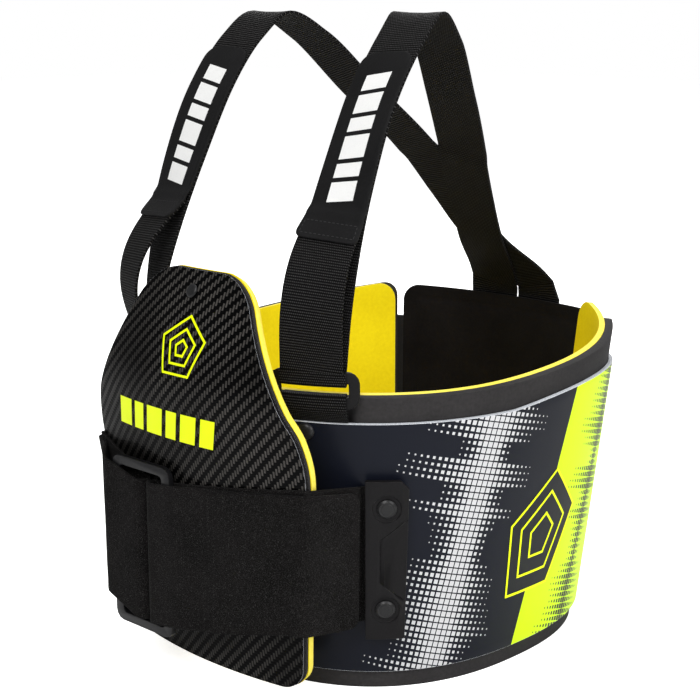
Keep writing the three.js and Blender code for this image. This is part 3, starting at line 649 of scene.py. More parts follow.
def gridSheet(name, columns, rows, pointAt, surfaceAt):  # (u, v) gives a point and its place on the cloth
    bpy.ops.object.select_all(action="DESELECT")
    bpy.ops.mesh.primitive_grid_add(x_subdivisions=columns, y_subdivisions=rows, size=1, calc_uvs=True)
    piece = madePiece(name)
    mesh = piece.data
    shares = [(vertex.co.x + 0.5, vertex.co.y + 0.5) for vertex in mesh.vertices]
    layer = mesh.uv_layers[0]
    layer.name = "surface"
    for loop in mesh.loops:
        place = surfaceAt(*shares[loop.vertex_index])
        layer.data[loop.index].uv = (place[0] * mm, place[1] * mm)
    for vertex, (u, v) in zip(mesh.vertices, shares):
        vertex.co = pointAt(u, v) * mm
    return piece


def thicken(piece, thickness, offset, rim=0, inner=0, even=True, group=""):
    useModifier(
        piece, "SOLIDIFY", thickness=thickness * mm, offset=offset, use_even_offset=even,
        material_offset_rim=rim, material_offset=inner, vertex_group=group,
    )


# side shells, foams and liners

shell = dict(
    thickness=3, frontOpening=68, rearEnd={"left": 47, "right": 54}, rise=7, riseFrom=0.43, corner=14,
    round=1.2, columns=190, rows=26,
)
foam = dict(
    thickness=5.5, above=17, below=12, frontOpening=64, rearOpening=222, rise=17, riseFrom=0.3, corner=12,
    round=1.3, columns=150, rows=22,
)
liner = dict(
    thickness=4, frontOpening=70, rearEnd={"left": 74, "right": 113}, below=9, corner=15,
    round=1.0, columns=150, rows=22,
)
gap = 0.3
foamOutside = -shell["thickness"] - gap
linerOutside = foamOutside - foam["thickness"] - gap


def foamTopAt(along):
    start = halfRing * foam["riseFrom"]
    end = halfRing - foam["rearOpening"] / 2
    return ring["top"] + foam["above"] + foam["rise"] * max(0, (abs(along) - start) / (end - start)) ** 2


def shellTopAt(along):
    start = halfRing * shell["riseFrom"]
    share = (abs(along) - start) / (halfRing - shell["rearEnd"]["left"] - start)
    return ring["top"] + shell["rise"] * math.sin(math.pi * min(1, max(0, share)))


def ringSheet(name, sign, size, start, end, bottom, topAt, outward):
    length = end - start

    def place(u, v):
        along = start + spread(u, length, size["corner"], size["columns"])
        drop = cornerDrop(min(along - start, end - along), size["corner"])
        return along, mixValue(bottom + drop, topAt(along) - drop, v)

    def pointAt(u, v):
        along, z = place(u, v)
        return ringPoint(sign * along, outward(along, z), z)

    return gridSheet(name, size["columns"], size["rows"], pointAt, place)


webbing = dict(width=40, thickness=1.8, columns=10, round=0.45)
slide = dict(bar=7.5, window=9, depth=4, along=80, above=22)
pocket = dict(depth=4.2, half=20.3, soft=5, top=98.4, bottom=71.7)


def dent(along, z):  # the foam gives way under the slide's webbing
    aside = 1 - smoothStep(abs(along - slide["along"]), pocket["half"], pocket["half"] + pocket["soft"])
    high = smoothStep(z, pocket["bottom"] - pocket["soft"], pocket["bottom"])
    return pocket["depth"] * aside * high * (1 - smoothStep(z, pocket["top"], pocket["top"] + pocket["soft"]))


for name, sign in sides.items():
    piece = ringSheet(
        f"{name}_printed_shell", sign, shell, shell["frontOpening"] / 2, halfRing - shell["rearEnd"][name],
        ring["bottom"], shellTopAt, lambda along, z: 0,
    )
    facesOutward(piece)
    paint(piece, shellPrint, silverEdgeAndPaintedHighlight, shellInside)
    thicken(piece, shell["thickness"], -1, rim=1, inner=2)
    roundEdges(piece, shell["round"], material=1)
    settle(piece, "printed_shell", f"{name}_shell")

    # the foam grows outward from its inner face, less where the webbing presses
    foamInside = foamOutside - foam["thickness"]
    piece = ringSheet(
        f"{name}_foam_pad", sign, foam, foam["frontOpening"] / 2, halfRing - foam["rearOpening"] / 2,
        ring["bottom"] - foam["below"], foamTopAt, lambda along, z: foamInside,
    )
    facesOutward(piece)
    paint(piece, blackFoam)
    thick = piece.vertex_groups.new(name="thick")
    for corner in piece.data.loops:
        along, z = [value / mm for value in piece.data.uv_layers["surface"].data[corner.index].uv]
        thick.add([corner.vertex_index], 1 - dent(along, z) / foam["thickness"], "REPLACE")
    thicken(piece, foam["thickness"], 1, group="thick")
    roundEdges(piece, foam["round"])
    settle(piece, "black_foam", f"{name}_foam")

    piece = ringSheet(
        f"{name}_foam_liner", sign, liner, liner["frontOpening"] / 2, halfRing - liner["rearEnd"][name],
        ring["bottom"] - liner["below"], foamTopAt, lambda along, z: linerOutside,
    )
    facesOutward(piece)
    paint(piece, yellowFoam, yellowCut)
    thicken(piece, liner["thickness"], -1, rim=1)
    roundEdges(piece, liner["round"])
    settle(piece, "yellow_foam", f"{name}_liner")
print("shells, foams and liners ready")


# back panel: a crowned pad, thinner towards its sewn rim

panel = dict(
    width=212, thickness=5.5, above=31, below=10, dip=3, corner=13, round=1.2, columns=120, rows=100,
    rim=10, rimThickness=0.5, crown=26, seam=0.45, seamWidth=2.6,
)


def panelPlace(u, v):
    start = halfRing - panel["width"] / 2
    along = start + spread(u, panel["width"], panel["corner"], panel["columns"])
    drop = cornerDrop(panel["width"] / 2 - abs(along - halfRing), panel["corner"])
    dip = panel["dip"] * (1 - ((along - halfRing) / (panel["width"] / 2)) ** 2)
    bottom = ring["bottom"] - panel["below"] + drop
    return along, mixValue(bottom, ring["top"] + panel["above"] - dip - drop, v)


def panelPoint(u, v):
    along, z = panelPlace(u, v)
    return ringPoint(along, foamOutside - panel["thickness"] / 2, z)


def panelFill(u, v):  # full in the middle, thin at the rim, and drawn in along the sewn line
    along, z = panelPlace(u, v)
    fromSide = panel["width"] / 2 - abs(along - halfRing)
    fromEnd = min(v, 1 - v) * (panelPlace(u, 1)[1] - panelPlace(u, 0)[1])
    inside = min(fromSide, fromEnd)
    crown = mixValue(panel["rimThickness"], 1, smoothStep(inside, 0, panel["crown"]))
    fromSeam = abs(inside - panel["rim"])
    return crown * mixValue(1 - panel["seam"], 1, smoothStep(fromSeam, 0, panel["seamWidth"]))


piece = gridSheet("back_pad", panel["columns"], panel["rows"], panelPoint, panelPlace)
facesOutward(piece)
paint(piece, panelCloth)
fill = piece.vertex_groups.new(name="fill")
across = panel["columns"] + 1
for vertex in piece.data.vertices:
    u, v = vertex.index % across / panel["columns"], vertex.index // across / panel["rows"]
    fill.add([vertex.index], panelFill(u, v), "REPLACE")
thicken(piece, panel["thickness"], 0, group="fill")
roundEdges(piece, panel["round"], smoothAngle=50)
settle(piece, "black_cloth", "back_panel")
print("back panel ready")


# chest plate with its foam and liner

plate = dict(
    thickness=2.5, bottom=-88, top=174, reach=176, curve=343, forward=0.141, leanStart=91, leanBack=35,
    leanPower=1.6, topCorner=20, bottomCorner=16, foam=2, liner=5, halfWidth=98,
)
plateSide = [(0, 0.806), (0.34, 0.923), (0.55, 1), (0.645, 0.96), (0.706, 0.867), (0.847, 0.648), (1, 0.418)]
plateDetail = dict(columns=72, rows=110, round=0.9, softRound=0.8)


def follow(rows, at):  # a smooth value through a short table
    last = len(rows) - 1
    if at <= rows[0][0]:
        return rows[0][1]
    if at >= rows[last][0]:
        return rows[last][1]
    i = next(n for n in range(last) if at <= rows[n + 1][0])

    def slope(a, b):
        return (rows[b][1] - rows[a][1]) / (rows[b][0] - rows[a][0])

    span = rows[i + 1][0] - rows[i][0]
    t = (at - rows[i][0]) / span
    startSlope = slope(max(0, i - 1), i + 1) * span
    endSlope = slope(i, min(last, i + 2)) * span
    a = 2 * rows[i][1] - 2 * rows[i + 1][1] + startSlope + endSlope
    b = -3 * rows[i][1] + 3 * rows[i + 1][1] - 2 * startSlope - endSlope
    return ((a * t + b) * t + startSlope) * t + rows[i][1]


def plateFaceY(x, z):
    above = max(0, z - plate["leanStart"]) / (plate["top"] - plate["leanStart"])
    lean = plate["leanBack"] * above ** plate["leanPower"]
    return -(plate["reach"] - x ** 2 / (2 * plate["curve"]) + plate["forward"] * z - lean)


def plateEdgeX(z):
    height = plate["top"] - plate["bottom"]
    side = plate["halfWidth"] * follow(plateSide, (z - plate["bottom"]) / height)
    topDrop = cornerDrop(plate["top"] - z, plate["topCorner"])
    return side - topDrop - cornerDrop(z - plate["bottom"], plate["bottomCorner"])


def plateNormal(x, z):
    across = Vector((1, (plateFaceY(x + 0.5, z) - plateFaceY(x - 0.5, z)), 0))
    rise = Vector((0, (plateFaceY(x, z + 0.5) - plateFaceY(x, z - 0.5)), 1))
    return across.cross(rise).normalized()


def plateLayer(name, behind, thickness, roundness, *materials):
    def place(u, v):
        height = plate["top"] - plate["bottom"]
        z = plate["bottom"] + spread(v, height, plate["bottomCorner"], plateDetail["rows"])
        return plateEdgeX(z) * (2 * u - 1), z

    def pointAt(u, v):
        x, z = place(u, v)
        return Vector((x, plateFaceY(x, z) + behind, z))

    piece = gridSheet(name, plateDetail["columns"], plateDetail["rows"], pointAt, place)
    facesOutward(piece)
    paint(piece, *materials)
    thicken(piece, thickness, -1, rim=len(materials) - 1)
    roundEdges(piece, roundness, material=1 if len(materials) > 1 else -1)
    return piece


# the carbon plate's rounded edge takes the pale silver edge colour as a painted highlight; its rim is dark
# plastic
piece = plateLayer(
    "carbon_plate", 0, plate["thickness"], plateDetail["round"], carbonTwill, silverEdgeAndPaintedHighlight, mouldedPlastic,
)
settle(piece, "carbon", "front_plate")
foamBehind = plate["thickness"] + gap
piece = plateLayer("plate_foam", foamBehind, plate["foam"], plateDetail["softRound"], blackFoam)
settle(piece, "black_foam", "front_foam")
linerBehind = foamBehind + plate["foam"] + gap
piece = plateLayer(
    "plate_liner", linerBehind, plate["liner"], plateDetail["softRound"], yellowFoam, yellowCut,
)
settle(piece, "yellow_foam", "front_liner")
print("chest plate ready")


# rivets: a turned head, modelled once for each size and set on its seat

def makeRivet(name, diameter, height, rimShare, dish):  # stands on its seat; dish rows are inset and rise
    bpy.ops.object.select_all(action="DESELECT")
    radius = diameter / 2 * mm
    rim = height * rimShare * mm
    bpy.ops.mesh.primitive_cylinder_add(vertices=40, radius=radius, depth=rim, location=(0, 0, rim / 2))
    piece = madePiece(name)
    editMesh(piece, lambda: bpy.ops.mesh.select_all(action="DESELECT"))
    for face in piece.data.polygons:
        face.select = face.normal.z > 0.9
    bpy.ops.object.mode_set(mode="EDIT")
    bpy.ops.mesh.select_mode(type="FACE")
    rest = height * mm - rim
    for inward, rise in dish:
        bpy.ops.mesh.inset(thickness=radius * inward, depth=0)
        bpy.ops.transform.translate(value=(0, 0, rest * rise))
    bpy.ops.object.mode_set(mode="OBJECT")
    roundEdges(piece, 0.12, 2, smoothAngle=35, angle=25)
    return piece


def seat(piece, point, normal):  # moves the mesh, so that the object stays at the origin
    turn = up.rotation_difference(normal).to_matrix().to_4x4()
    piece.data.transform(Matrix.Translation(point * mm) @ turn @ piece.matrix_world)
    piece.matrix_world = Matrix.Identity(4)


def copyPiece(piece, name):
    twin = piece.copy()
    twin.data = piece.data.copy()
    twin.name = twin.data.name = name
    bpy.context.scene.collection.objects.link(twin)
    return twin


elastic = dict(
    width=96, clampWidth=92, thickness=2, foldDepth=7, freeEndShort=8, bend=2.2, uprightFrom=0.55,
    columns=44, freeCorner=7, round=0.55,
)
strapPlate = dict(
    width=27, thickness=5, along=124.5, head=12.5, headHeight=1.5, recessDepth=1.3, rivetTop=31, rivetLow=-38,
    round=0.7, groove=0.42, grooveLift=0.05,
)
strapPlateInner = elastic["thickness"] + 2 * gap
strapPlateOuter = strapPlateInner + strapPlate["thickness"]
dome = dict(diameter=11, height=3, along=73.5, below=6)
plateRivet = dict(diameter=9, height=1.6, below=12.5)

flatDish = [(0.14, 0.55), (0.06, 0.45), (0.1, -0.3), (0.08, 0.0), (0.06, 0.25)]
domeDish = [(0.12, 0.42), (0.16, 0.28), (0.2, 0.18), (0.22, 0.1), (0.16, 0.02)]
flatHead = makeRivet("flat_head", strapPlate["head"], strapPlate["headHeight"], 0.35, flatDish)
domeHead = makeRivet("dome_head", dome["diameter"], dome["height"], 0.25, domeDish)
plateHead = makeRivet("plate_head", plateRivet["diameter"], plateRivet["height"], 0.3, domeDish)

for name, sign in sides.items():
    normal = wallNormal(sign * strapPlate["along"])
    for place, z in (("top", strapPlate["rivetTop"]), ("low", strapPlate["rivetLow"])):
        piece = copyPiece(flatHead, f"{name}_clamp_rivet_{place}")
        point = ringPoint(sign * strapPlate["along"], strapPlateOuter, z)
        seat(piece, point + normal * (gap - strapPlate["recessDepth"]), normal)
        settle(piece, "dark_plastic", f"{name}_strap_rivet_{place}", look=rivetPlastic)
    piece = copyPiece(domeHead, f"{name}_loop_rivet")
    normal = wallNormal(sign * dome["along"])
    seat(piece, ringPoint(sign * dome["along"], 0, ring["top"] - dome["below"]) + normal * gap, normal)
    settle(piece, "dark_plastic", f"{name}_dome_rivet", look=rivetPlastic)

rivetZ = plate["top"] - plateRivet["below"]
normal = plateNormal(0, rivetZ)
seat(plateHead, Vector((0, plateFaceY(0, rivetZ), rivetZ)) + normal * gap, normal)
plateHead.name = plateHead.data.name = "plate_top_rivet"
settle(plateHead, "dark_plastic", "plate_rivet", look=rivetPlastic)
for spare in (flatHead, domeHead):
    bpy.data.objects.remove(spare)


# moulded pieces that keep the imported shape, with merged faces and softened edges

def refineNode(node, name, roundness, segments=2):
    piece = copyPiece(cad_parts[node], name)
    for key in list(piece.keys()):
        del piece[key]
    editMesh(
        piece, lambda: bpy.ops.mesh.remove_doubles(threshold=0.00002),
        lambda: bpy.ops.mesh.dissolve_limited(angle_limit=math.radians(3)),
    )
    roundEdges(piece, roundness, segments, smoothAngle=35, angle=30)
    return piece


grooveRuns = [  # (along the ring from the plate's middle, height), in mm
    [(14.5, 24.5), (11.7, 22.8), (-4.1, 10.2), (-4.1, -19.3), (-1.2, -21.4)],
    [(-1.2, -21.4), (14.5, -32.8)],
]


def cutGrooves(piece, sign):
    for run in grooveRuns:
        curve = bpy.data.curves.new("groove", "CURVE")
        curve.dimensions = "3D"
        curve.bevel_depth = strapPlate["groove"] * mm
        curve.bevel_resolution = 2
        curve.use_fill_caps = True
        line = curve.splines.new("POLY")
        line.points.add(len(run) - 1)
        outside = strapPlateOuter + strapPlate["grooveLift"]
        for point, (aside, z) in zip(line.points, run):
            place = ringPoint(sign * (strapPlate["along"] + aside), outside, z)
            point.co = (*(place * mm), 1)
        choose(addObject("groove", curve))
        bpy.ops.object.convert(target="MESH")
        tool = bpy.context.object
        useModifier(piece, "BOOLEAN", operation="DIFFERENCE", solver="EXACT", object=tool)
        bpy.data.objects.remove(tool)


for name, sign in sides.items():
    piece = refineNode(f"{name}_strap_plate", f"{name}_clamp_plate", strapPlate["round"])
    cutGrooves(piece, sign)
    smooth(piece, 35)
    settle(piece, "dark_plastic", f"{name}_strap_plate", look=mouldedPlastic)
    piece = refineNode(f"{name}_slide", f"{name}_moulded_slide", 0.8, 3)
    settle(piece, "dark_plastic", f"{name}_slide", look=mouldedPlastic)
settle(refineNode("buckle", "moulded_buckle", 0.9, 3), "buckle_plastic", "buckle", look=bucklePlastic)
print("rivets and moulded pieces ready")


# paths: a strap is a row of stations, each a function of the share across it

def pathSheet(name, stations, size, freeCorner=0):
    lengths = runLengths([station(0) for station in stations])
    last = len(stations) - 1

    def trim(row):  # rounded corners at the free end
        return cornerDrop(lengths[last] - lengths[row], freeCorner) / size["width"] if freeCorner else 0

    def pointAt(u, v):
        row = round(u * last)
        share = (v - 0.5) * (1 - 2 * trim(row))
        return stations[row](share)

    def surfaceAt(u, v):
        return lengths[round(u * last)], (v - 0.5) * size["width"]

    piece = gridSheet(name, last, size["columns"], pointAt, surfaceAt)
    thicken(piece, size["thickness"], 0, even=False)
    roundEdges(piece, size["round"], 2, smoothAngle=45)
    return piece, lengths[-1]


def fullStations(stations, steps):  # puts rounder steps between stations by a smooth curve
    last = len(stations) - 1

    def between(place):
        return lambda share: smoothCurve(lambda k: stations[k](share), last, place)

    places = []
    for k in range(last):
        length = (stations[k + 1](0) - stations[k](0)).length
        count = max(1, math.ceil(length / steps))
        places += [k + n / count for n in range(count)]
    return [between(place) for place in places] + [stations[last]]


# elastic straps, doubled round the buckle's bars

elasticCentre = dict(inner=dict(fold=-13, edge=4, clamp=-1.5), outer=dict(fold=-13, edge=1, clamp=-4.5))
foldPast = {"left": 19, "right": 28}
buckle = dict(width=58, bar=7.5, thickness=4, centreX=-37)
layerStep = elastic["thickness"] + gap
foldTop = elasticCentre["inner"]["fold"] + elastic["width"] / 2
buckleBack = plateFaceY(0, foldTop) - elastic["thickness"] - 4 * gap
frontOfBar = buckleBack - buckle["thickness"] - gap - elastic["thickness"] / 2


def bendX(z):
    return plateEdgeX(z) + 3 * gap + elastic["thickness"] / 2 - elastic["bend"]


def onPlate(x, z):
    return plateFaceY(x, z) - gap - elastic["thickness"] / 2


def elasticStations(name, sign):
    inner, outer = elasticCentre["inner"], elasticCentre["outer"]
    barX = sign * buckle["centreX"] + buckle["width"] / 2 - buckle["bar"] / 2
    runEnd = barX - foldPast[name] + elastic["foldDepth"]

    def onShell(along, outside, centre):
        return lambda share: ringPoint(sign * along, outside, centre + share * elastic["clampWidth"])

    def bendStation(degrees, lift, centre):
        def station(share):
            z = centre + share * elastic["width"]
            angle = math.radians(degrees)
            radius = elastic["bend"] + lift
            y = onPlate(bendX(z), z) + elastic["bend"] - radius * math.sin(angle)
            return Vector((sign * (bendX(z) + radius * math.cos(angle)), y, z))
        return station

    def runPlace(share, layer, k):
        z = mixValue(layer["edge"], layer["fold"], k) + share * elastic["width"]
        x = mixValue(bendX(z) - elastic["bend"], runEnd, k)
        top = mixValue(inner["edge"], inner["fold"], k) + elastic["width"] / 2
        upright = smoothStep(k, 0, elastic["uprightFrom"])
        return x, mixValue(onPlate(x, z), onPlate(x, top), upright), z

    def innerRun(k):
        def station(share):
            x, y, z = runPlace(share, inner, k)
            return Vector((sign * x, y, z))
        return station

    def outerRun(k):
        def station(share):
            x, y, z = runPlace(share, outer, k)
            opened = 1 - smoothStep(x, barX + buckle["bar"], barX + 4 * buckle["bar"])
            return Vector((sign * x, mixValue(y - layerStep, frontOfBar, opened), z))
        return station

    def turnBack(degrees):
        def station(share):
            back, front = innerRun(1)(share), outerRun(1)(share)
            angle = math.radians(degrees)
            y = (back.y + front.y) / 2 + (back.y - front.y) / 2 * math.cos(angle)
            return Vector((back.x - sign * elastic["foldDepth"] * math.sin(angle), y, back.z))
        return station

    underPlate = gap + elastic["thickness"] / 2

    def freeEnd(part):
        def station(share):
            start = bendStation(10, 0, outer["edge"])(share)
            end = onShell(strapPlate["along"] - strapPlate["width"] / 2, underPlate, outer["clamp"])(share)
            run = (end - start).length - elastic["freeEndShort"]
            direction = (end - start).normalized()
            outside = direction.cross(Vector((0, 0, sign))).normalized()
            return start + direction * run * part + outside * (layerStep + gap * part)
        return station

    runSteps = [k / 16 for k in range(17)]
    clamp = [
        onShell(strapPlate["along"] + share * strapPlate["width"], underPlate, inner["clamp"])
        for share in (0.45, 0.25, 0, -0.25, -0.5, -0.56)
    ]
    return (
        clamp
        + [bendStation(angle, 0, inner["edge"]) for angle in (10, 30, 50, 75)]
        + [innerRun(k) for k in runSteps]
        + [turnBack(angle) for angle in range(20, 180, 20)]
        + [outerRun(k) for k in reversed(runSteps)]
        + [bendStation(angle, layerStep, outer["edge"]) for angle in (75, 50, 30, 10)]
        + [freeEnd(part) for part in (0.35, 0.6, 0.75, 0.85, 0.93, 0.98, 1)]
    )


elasticLengths = {}
for name, sign in sides.items():
    stations = elasticStations(name, sign)
    piece, length = pathSheet(f"{name}_elastic_strap", stations, elastic, elastic["freeCorner"])
    settle(piece, "elastic", f"{name}_elastic", look=elasticCloth)
    round(length * mm, 3)
    elasticLengths[name] = length
print("elastic straps ready:", {name: round(value) for name, value in elasticLengths.items()})


# shoulder straps: the route's points are those of the part's source

shoulder = dict(
    top=330, between=2, aside=-8, asideUntil=0.4, tail=52, crossing=1.4, bulge={"left": 11, "right": 15},
    doubled=95, twist=170,
)
crossed = dict(until=0.48, clear=0.56)
shoulderRun = [  # across, ahead, up
    (-0.17, 0.055, 0.11), (0, 0.16, 0.235), (0.13, 0.25, 0.392), (0.285, 0.343, 0.565), (0.53, 0.46, 0.75),
    (0.745, 0.575, 0.93), (0.87, 0.665, 1), (0.93, 0.735, 0.93), (0.96, 0.82, 0.775), (0.98, 0.895, 0.56),
    (0.99, 0.95, 0.355), (1, 0.983, 0.18),
]
half = webbing["thickness"] / 2
slideInner = foamOutside + 2 * gap + webbing["thickness"]
slideCentreZ = ring["top"] + slide["above"]
lowerBarZ = slideCentreZ - (slide["window"] + slide["bar"]) / 2
upperBarZ = slideCentreZ + (slide["window"] + slide["bar"]) / 2
barMiddle = slideInner + slide["depth"] / 2
landingOut = foamOutside + gap + half
landingTop = ring["top"] + panel["above"] - panel["dip"] / 2
landing = ringPoint(halfRing, landingOut, landingTop)
slidePoint = ringPoint(slide["along"], barMiddle - slide["depth"] / 2 - gap - half, upperBarZ)
landingAside = (webbing["width"] + shoulder["between"]) / 2


def runPoint(across, ahead, rise):
    base = mixValue(landingTop, upperBarZ, ahead)
    y = mixValue(landing.y, slidePoint.y, ahead)
    return Vector((across * slidePoint.x, y, base + rise * (shoulder["top"] - base)))


routePoints = [Vector((-landingAside, landing.y, landingTop + webbing["width"] / 8))]
routePoints += [runPoint(*row) for row in shoulderRun] + [slidePoint]


routeLast = len(routePoints) - 1
routeSteps = 200 * routeLast
routeFine = [
    smoothCurve(lambda n: routePoints[n], routeLast, k / routeSteps * routeLast)
    for k in range(routeSteps + 1)
]
routeLengths = runLengths(routeFine)
strapLength = routeLengths[-1]


def routeAt(turn):
    k, share = findStep(routeLengths, min(strapLength, max(0, turn * strapLength)))
    return routeFine[k - 1].lerp(routeFine[k], share)


def turnAt(fromSlide):
    return 1 - fromSlide / strapLength


slideTangent = ringPoint(slide["along"] + 1, 0, upperBarZ) - ringPoint(slide["along"] - 1, 0, upperBarZ)
slideTangent.normalize()


def strapFrame(turn):
    step = 0.004
    tangent = (routeAt(min(1, turn + step)) - routeAt(max(0, turn - step))).normalized()
    toSlide = smoothStep(turn, turnAt(shoulder["twist"]), 1)
    sideways = Vector((1, 0, 0)).lerp(slideTangent, toSlide)
    across = (sideways - tangent * sideways.dot(tangent)).normalized()
    return dict(turn=turn, point=routeAt(turn), across=across, normal=tangent.cross(across))


def strapPlace(place, sign, lift, offset):
    point = place["point"] + place["normal"] * lift + place["across"] * offset
    ahead = (landing.y - place["point"].y) / (landing.y - slidePoint.y)
    shift = shoulder["aside"] * (1 - smoothStep(ahead, 0, shoulder["asideUntil"]))
    return Vector((sign * point.x + shift, point.y, point.z))


def crossingLift(place, sign):
    if place["turn"] > 0.5:
        return 0
    aside = abs(place["point"].x) / webbing["width"]
    return -sign * shoulder["crossing"] * (1 - smoothStep(aside, crossed["until"], crossed["clear"]))


strapGap = webbing["thickness"] + gap
slideLift = slide["depth"] + 2 * gap + webbing["thickness"]
doubledEnd = turnAt(shoulder["doubled"])


def doubledLift(turn, sign):
    share = (1 - turn) / (1 - doubledEnd)
    bulge = shoulder["bulge"]["left" if sign > 0 else "right"]
    return mixValue(slideLift, strapGap, share) + bulge * math.sin(math.pi * min(1, max(0, share)))


def roundBar(barZ, upOrDown, layer, steps=6):
    radius = gap + half + layer
    run = [(slide["depth"] / 2 + radius, -slide["bar"] / 2)]
    for k in range(steps + 1):
        angle = k / steps * math.pi / 2
        aside, rise = radius * math.cos(angle), radius * math.sin(angle)
        run.append((slide["depth"] / 2 + aside, slide["bar"] / 2 + rise))
    inner = [(barMiddle - reach, barZ + upOrDown * rise) for reach, rise in run]
    outer = [(barMiddle + reach, barZ + upOrDown * rise) for reach, rise in reversed(run)]
    return inner + outer


def atSlide(sign, out, z):
    return lambda share: ringPoint(sign * (slide["along"] + share * webbing["width"]), out, z)


def tailStart(sign):
    return halfRing - shoulder["aside"] + sign * landingAside


def strapStations(sign):
    def onPanel(z):
        return lambda share: ringPoint(tailStart(sign) - sign * share * webbing["width"], landingOut, z)

    def onRoute(place, lift):
        return lambda share: strapPlace(place, sign, lift, share * webbing["width"])

    tailShares = (0, 0.15, 0.35, 0.55, 0.7, 0.85, 1)
    tail = [onPanel(landingTop - shoulder["tail"] * (1 - share)) for share in tailShares]
    steps, first, last = 150, 0.012, 0.9932
    frames = [strapFrame(mixValue(first, last, k / steps)) for k in range(steps + 1)]
    run = [onRoute(place, crossingLift(place, sign)) for place in frames]
    turnedBack = [atSlide(sign, out, z) for out, z in roundBar(upperBarZ, -1, 0)]
    upper = [
        onRoute(place, doubledLift(place["turn"], sign))
        for place in reversed(frames) if place["turn"] > doubledEnd
    ]
    freeEnd = onRoute(strapFrame(doubledEnd), doubledLift(doubledEnd, sign))
    return tail + run + turnedBack + upper + [freeEnd]


for name, sign in sides.items():
    piece, length = pathSheet(f"{name}_webbing_strap", strapStations(sign), webbing)
    settle(piece, "webbing", f"{name}_shoulder_strap", look=ribbedWebbing)
    round(length * mm, 3)
print("shoulder straps ready:", round(length), "mm each")


# tabs, sewn over the straps' doubled ends

tab = dict(
    width=41, length=126, thickness=1.6, sewn=14, flare=3, lowCorner=4, topCorner=10, columns=12, rows=60,
    ramp=7.2, round=0.4,
)
tabFrom = shoulder["doubled"] - tab["sewn"]


def tabPoint(place, aside, sign, lift=0.0):  # mm from the low end, and a share of the width
    far = tabFrom + place
    turn = turnAt(far)
    flare = tab["flare"] * (1 - smoothStep(place, 0, 2 * tab["sewn"]))
    rounding = cornerDrop(place, tab["lowCorner"]) + cornerDrop(tab["length"] - place, tab["topCorner"])
    low = tab["sewn"] + tab["thickness"]
    onDoubled = max(doubledLift(turn, sign), strapGap)
    under = onDoubled * (1 - smoothStep(place, low, low + tab["ramp"]))
    height = under + gap + (webbing["thickness"] + tab["thickness"]) / 2 + lift
    width = tab["width"] + flare - 2 * rounding
    return strapPlace(strapFrame(turn), sign, height, aside * width)


for name, sign in sides.items():
    steps = tab["rows"]
    places = [spread(k / steps, tab["length"], tab["topCorner"], steps, 7) for k in range(steps + 1)]
    stations = [lambda share, place=place: tabPoint(place, share, sign) for place in places]
    piece, length = pathSheet(f"{name}_sewn_tab", stations, tab)
    settle(piece, "black_cloth", f"{name}_strap_tab", look=tabCloth)
print("tabs ready")


# short webbing loops round the slides' lower bars

loopTail = 13
tailMiddle = foamOutside - gap - webbing["thickness"]


def loopStations(sign):
    low = ring["top"] - loopTail
    high = ring["top"] + gap
    back = [(tailMiddle - half, mixValue(low, high, share)) for share in (0, 0.4, 0.8)]
    front = [(tailMiddle + half, mixValue(high, low, share)) for share in (0.2, 0.6, 1)]
    return [atSlide(sign, out, z) for out, z in back + roundBar(lowerBarZ, 1, 0) + front]


for name, sign in sides.items():
    stations = fullStations(loopStations(sign), 1.6)
    piece, length = pathSheet(f"{name}_webbing_loop", stations, webbing)
    settle(piece, "webbing", f"{name}_slide_loop", look=ribbedWebbing)
    round(length * mm, 3)
print("slide loops ready")


# stitches: one thread modelled once, then set along the seams

def makeStitch(length, thickness):
    bpy.ops.object.select_all(action="DESELECT")
    bpy.ops.mesh.primitive_uv_sphere_add(segments=8, ring_count=6, radius=0.5)
    piece = bpy.context.object
    piece.scale = (length * mm, thickness * mm, thickness * mm)
    bpy.ops.object.transform_apply(location=True, rotation=True, scale=True)
    return piece


def stitchRow(name, pointAt, start, end, pitch, length=2.2, thickness=0.55):
    span = math.hypot(end[0] - start[0], end[1] - start[1])
    count = max(2, round(span / pitch))
    made = []
    for k in range(count):
        a = mixValue(start[0], end[0], (k + 0.5) / count)
        b = mixValue(start[1], end[1], (k + 0.5) / count)
        here = pointAt(a, b)
        step = (end[0] - start[0]) / span, (end[1] - start[1]) / span
        along = (pointAt(a + step[0], b + step[1]) - here).normalized()
        normal = (pointAt(a + 1, b) - here).cross(pointAt(a, b + 1) - here).normalized()
        across = normal.cross(along).normalized()
        turn = Matrix((along, across, along.cross(across))).transposed().to_4x4()
        piece = makeStitch(length, thickness) if not made else copyPiece(made[0][0], name)
        made.append((piece, Matrix.Translation(here * mm) @ turn))
    for piece, place in made:
        piece.data.transform(place)
    row = joinPieces([piece for piece, place in made], name)
    bpy.ops.object.shade_smooth()
    return row


seam = dict(pitch=3, tabRows=(3, 11.5), tabInset=2.5, tailLow=4, tailHigh=8, tailInset=4)

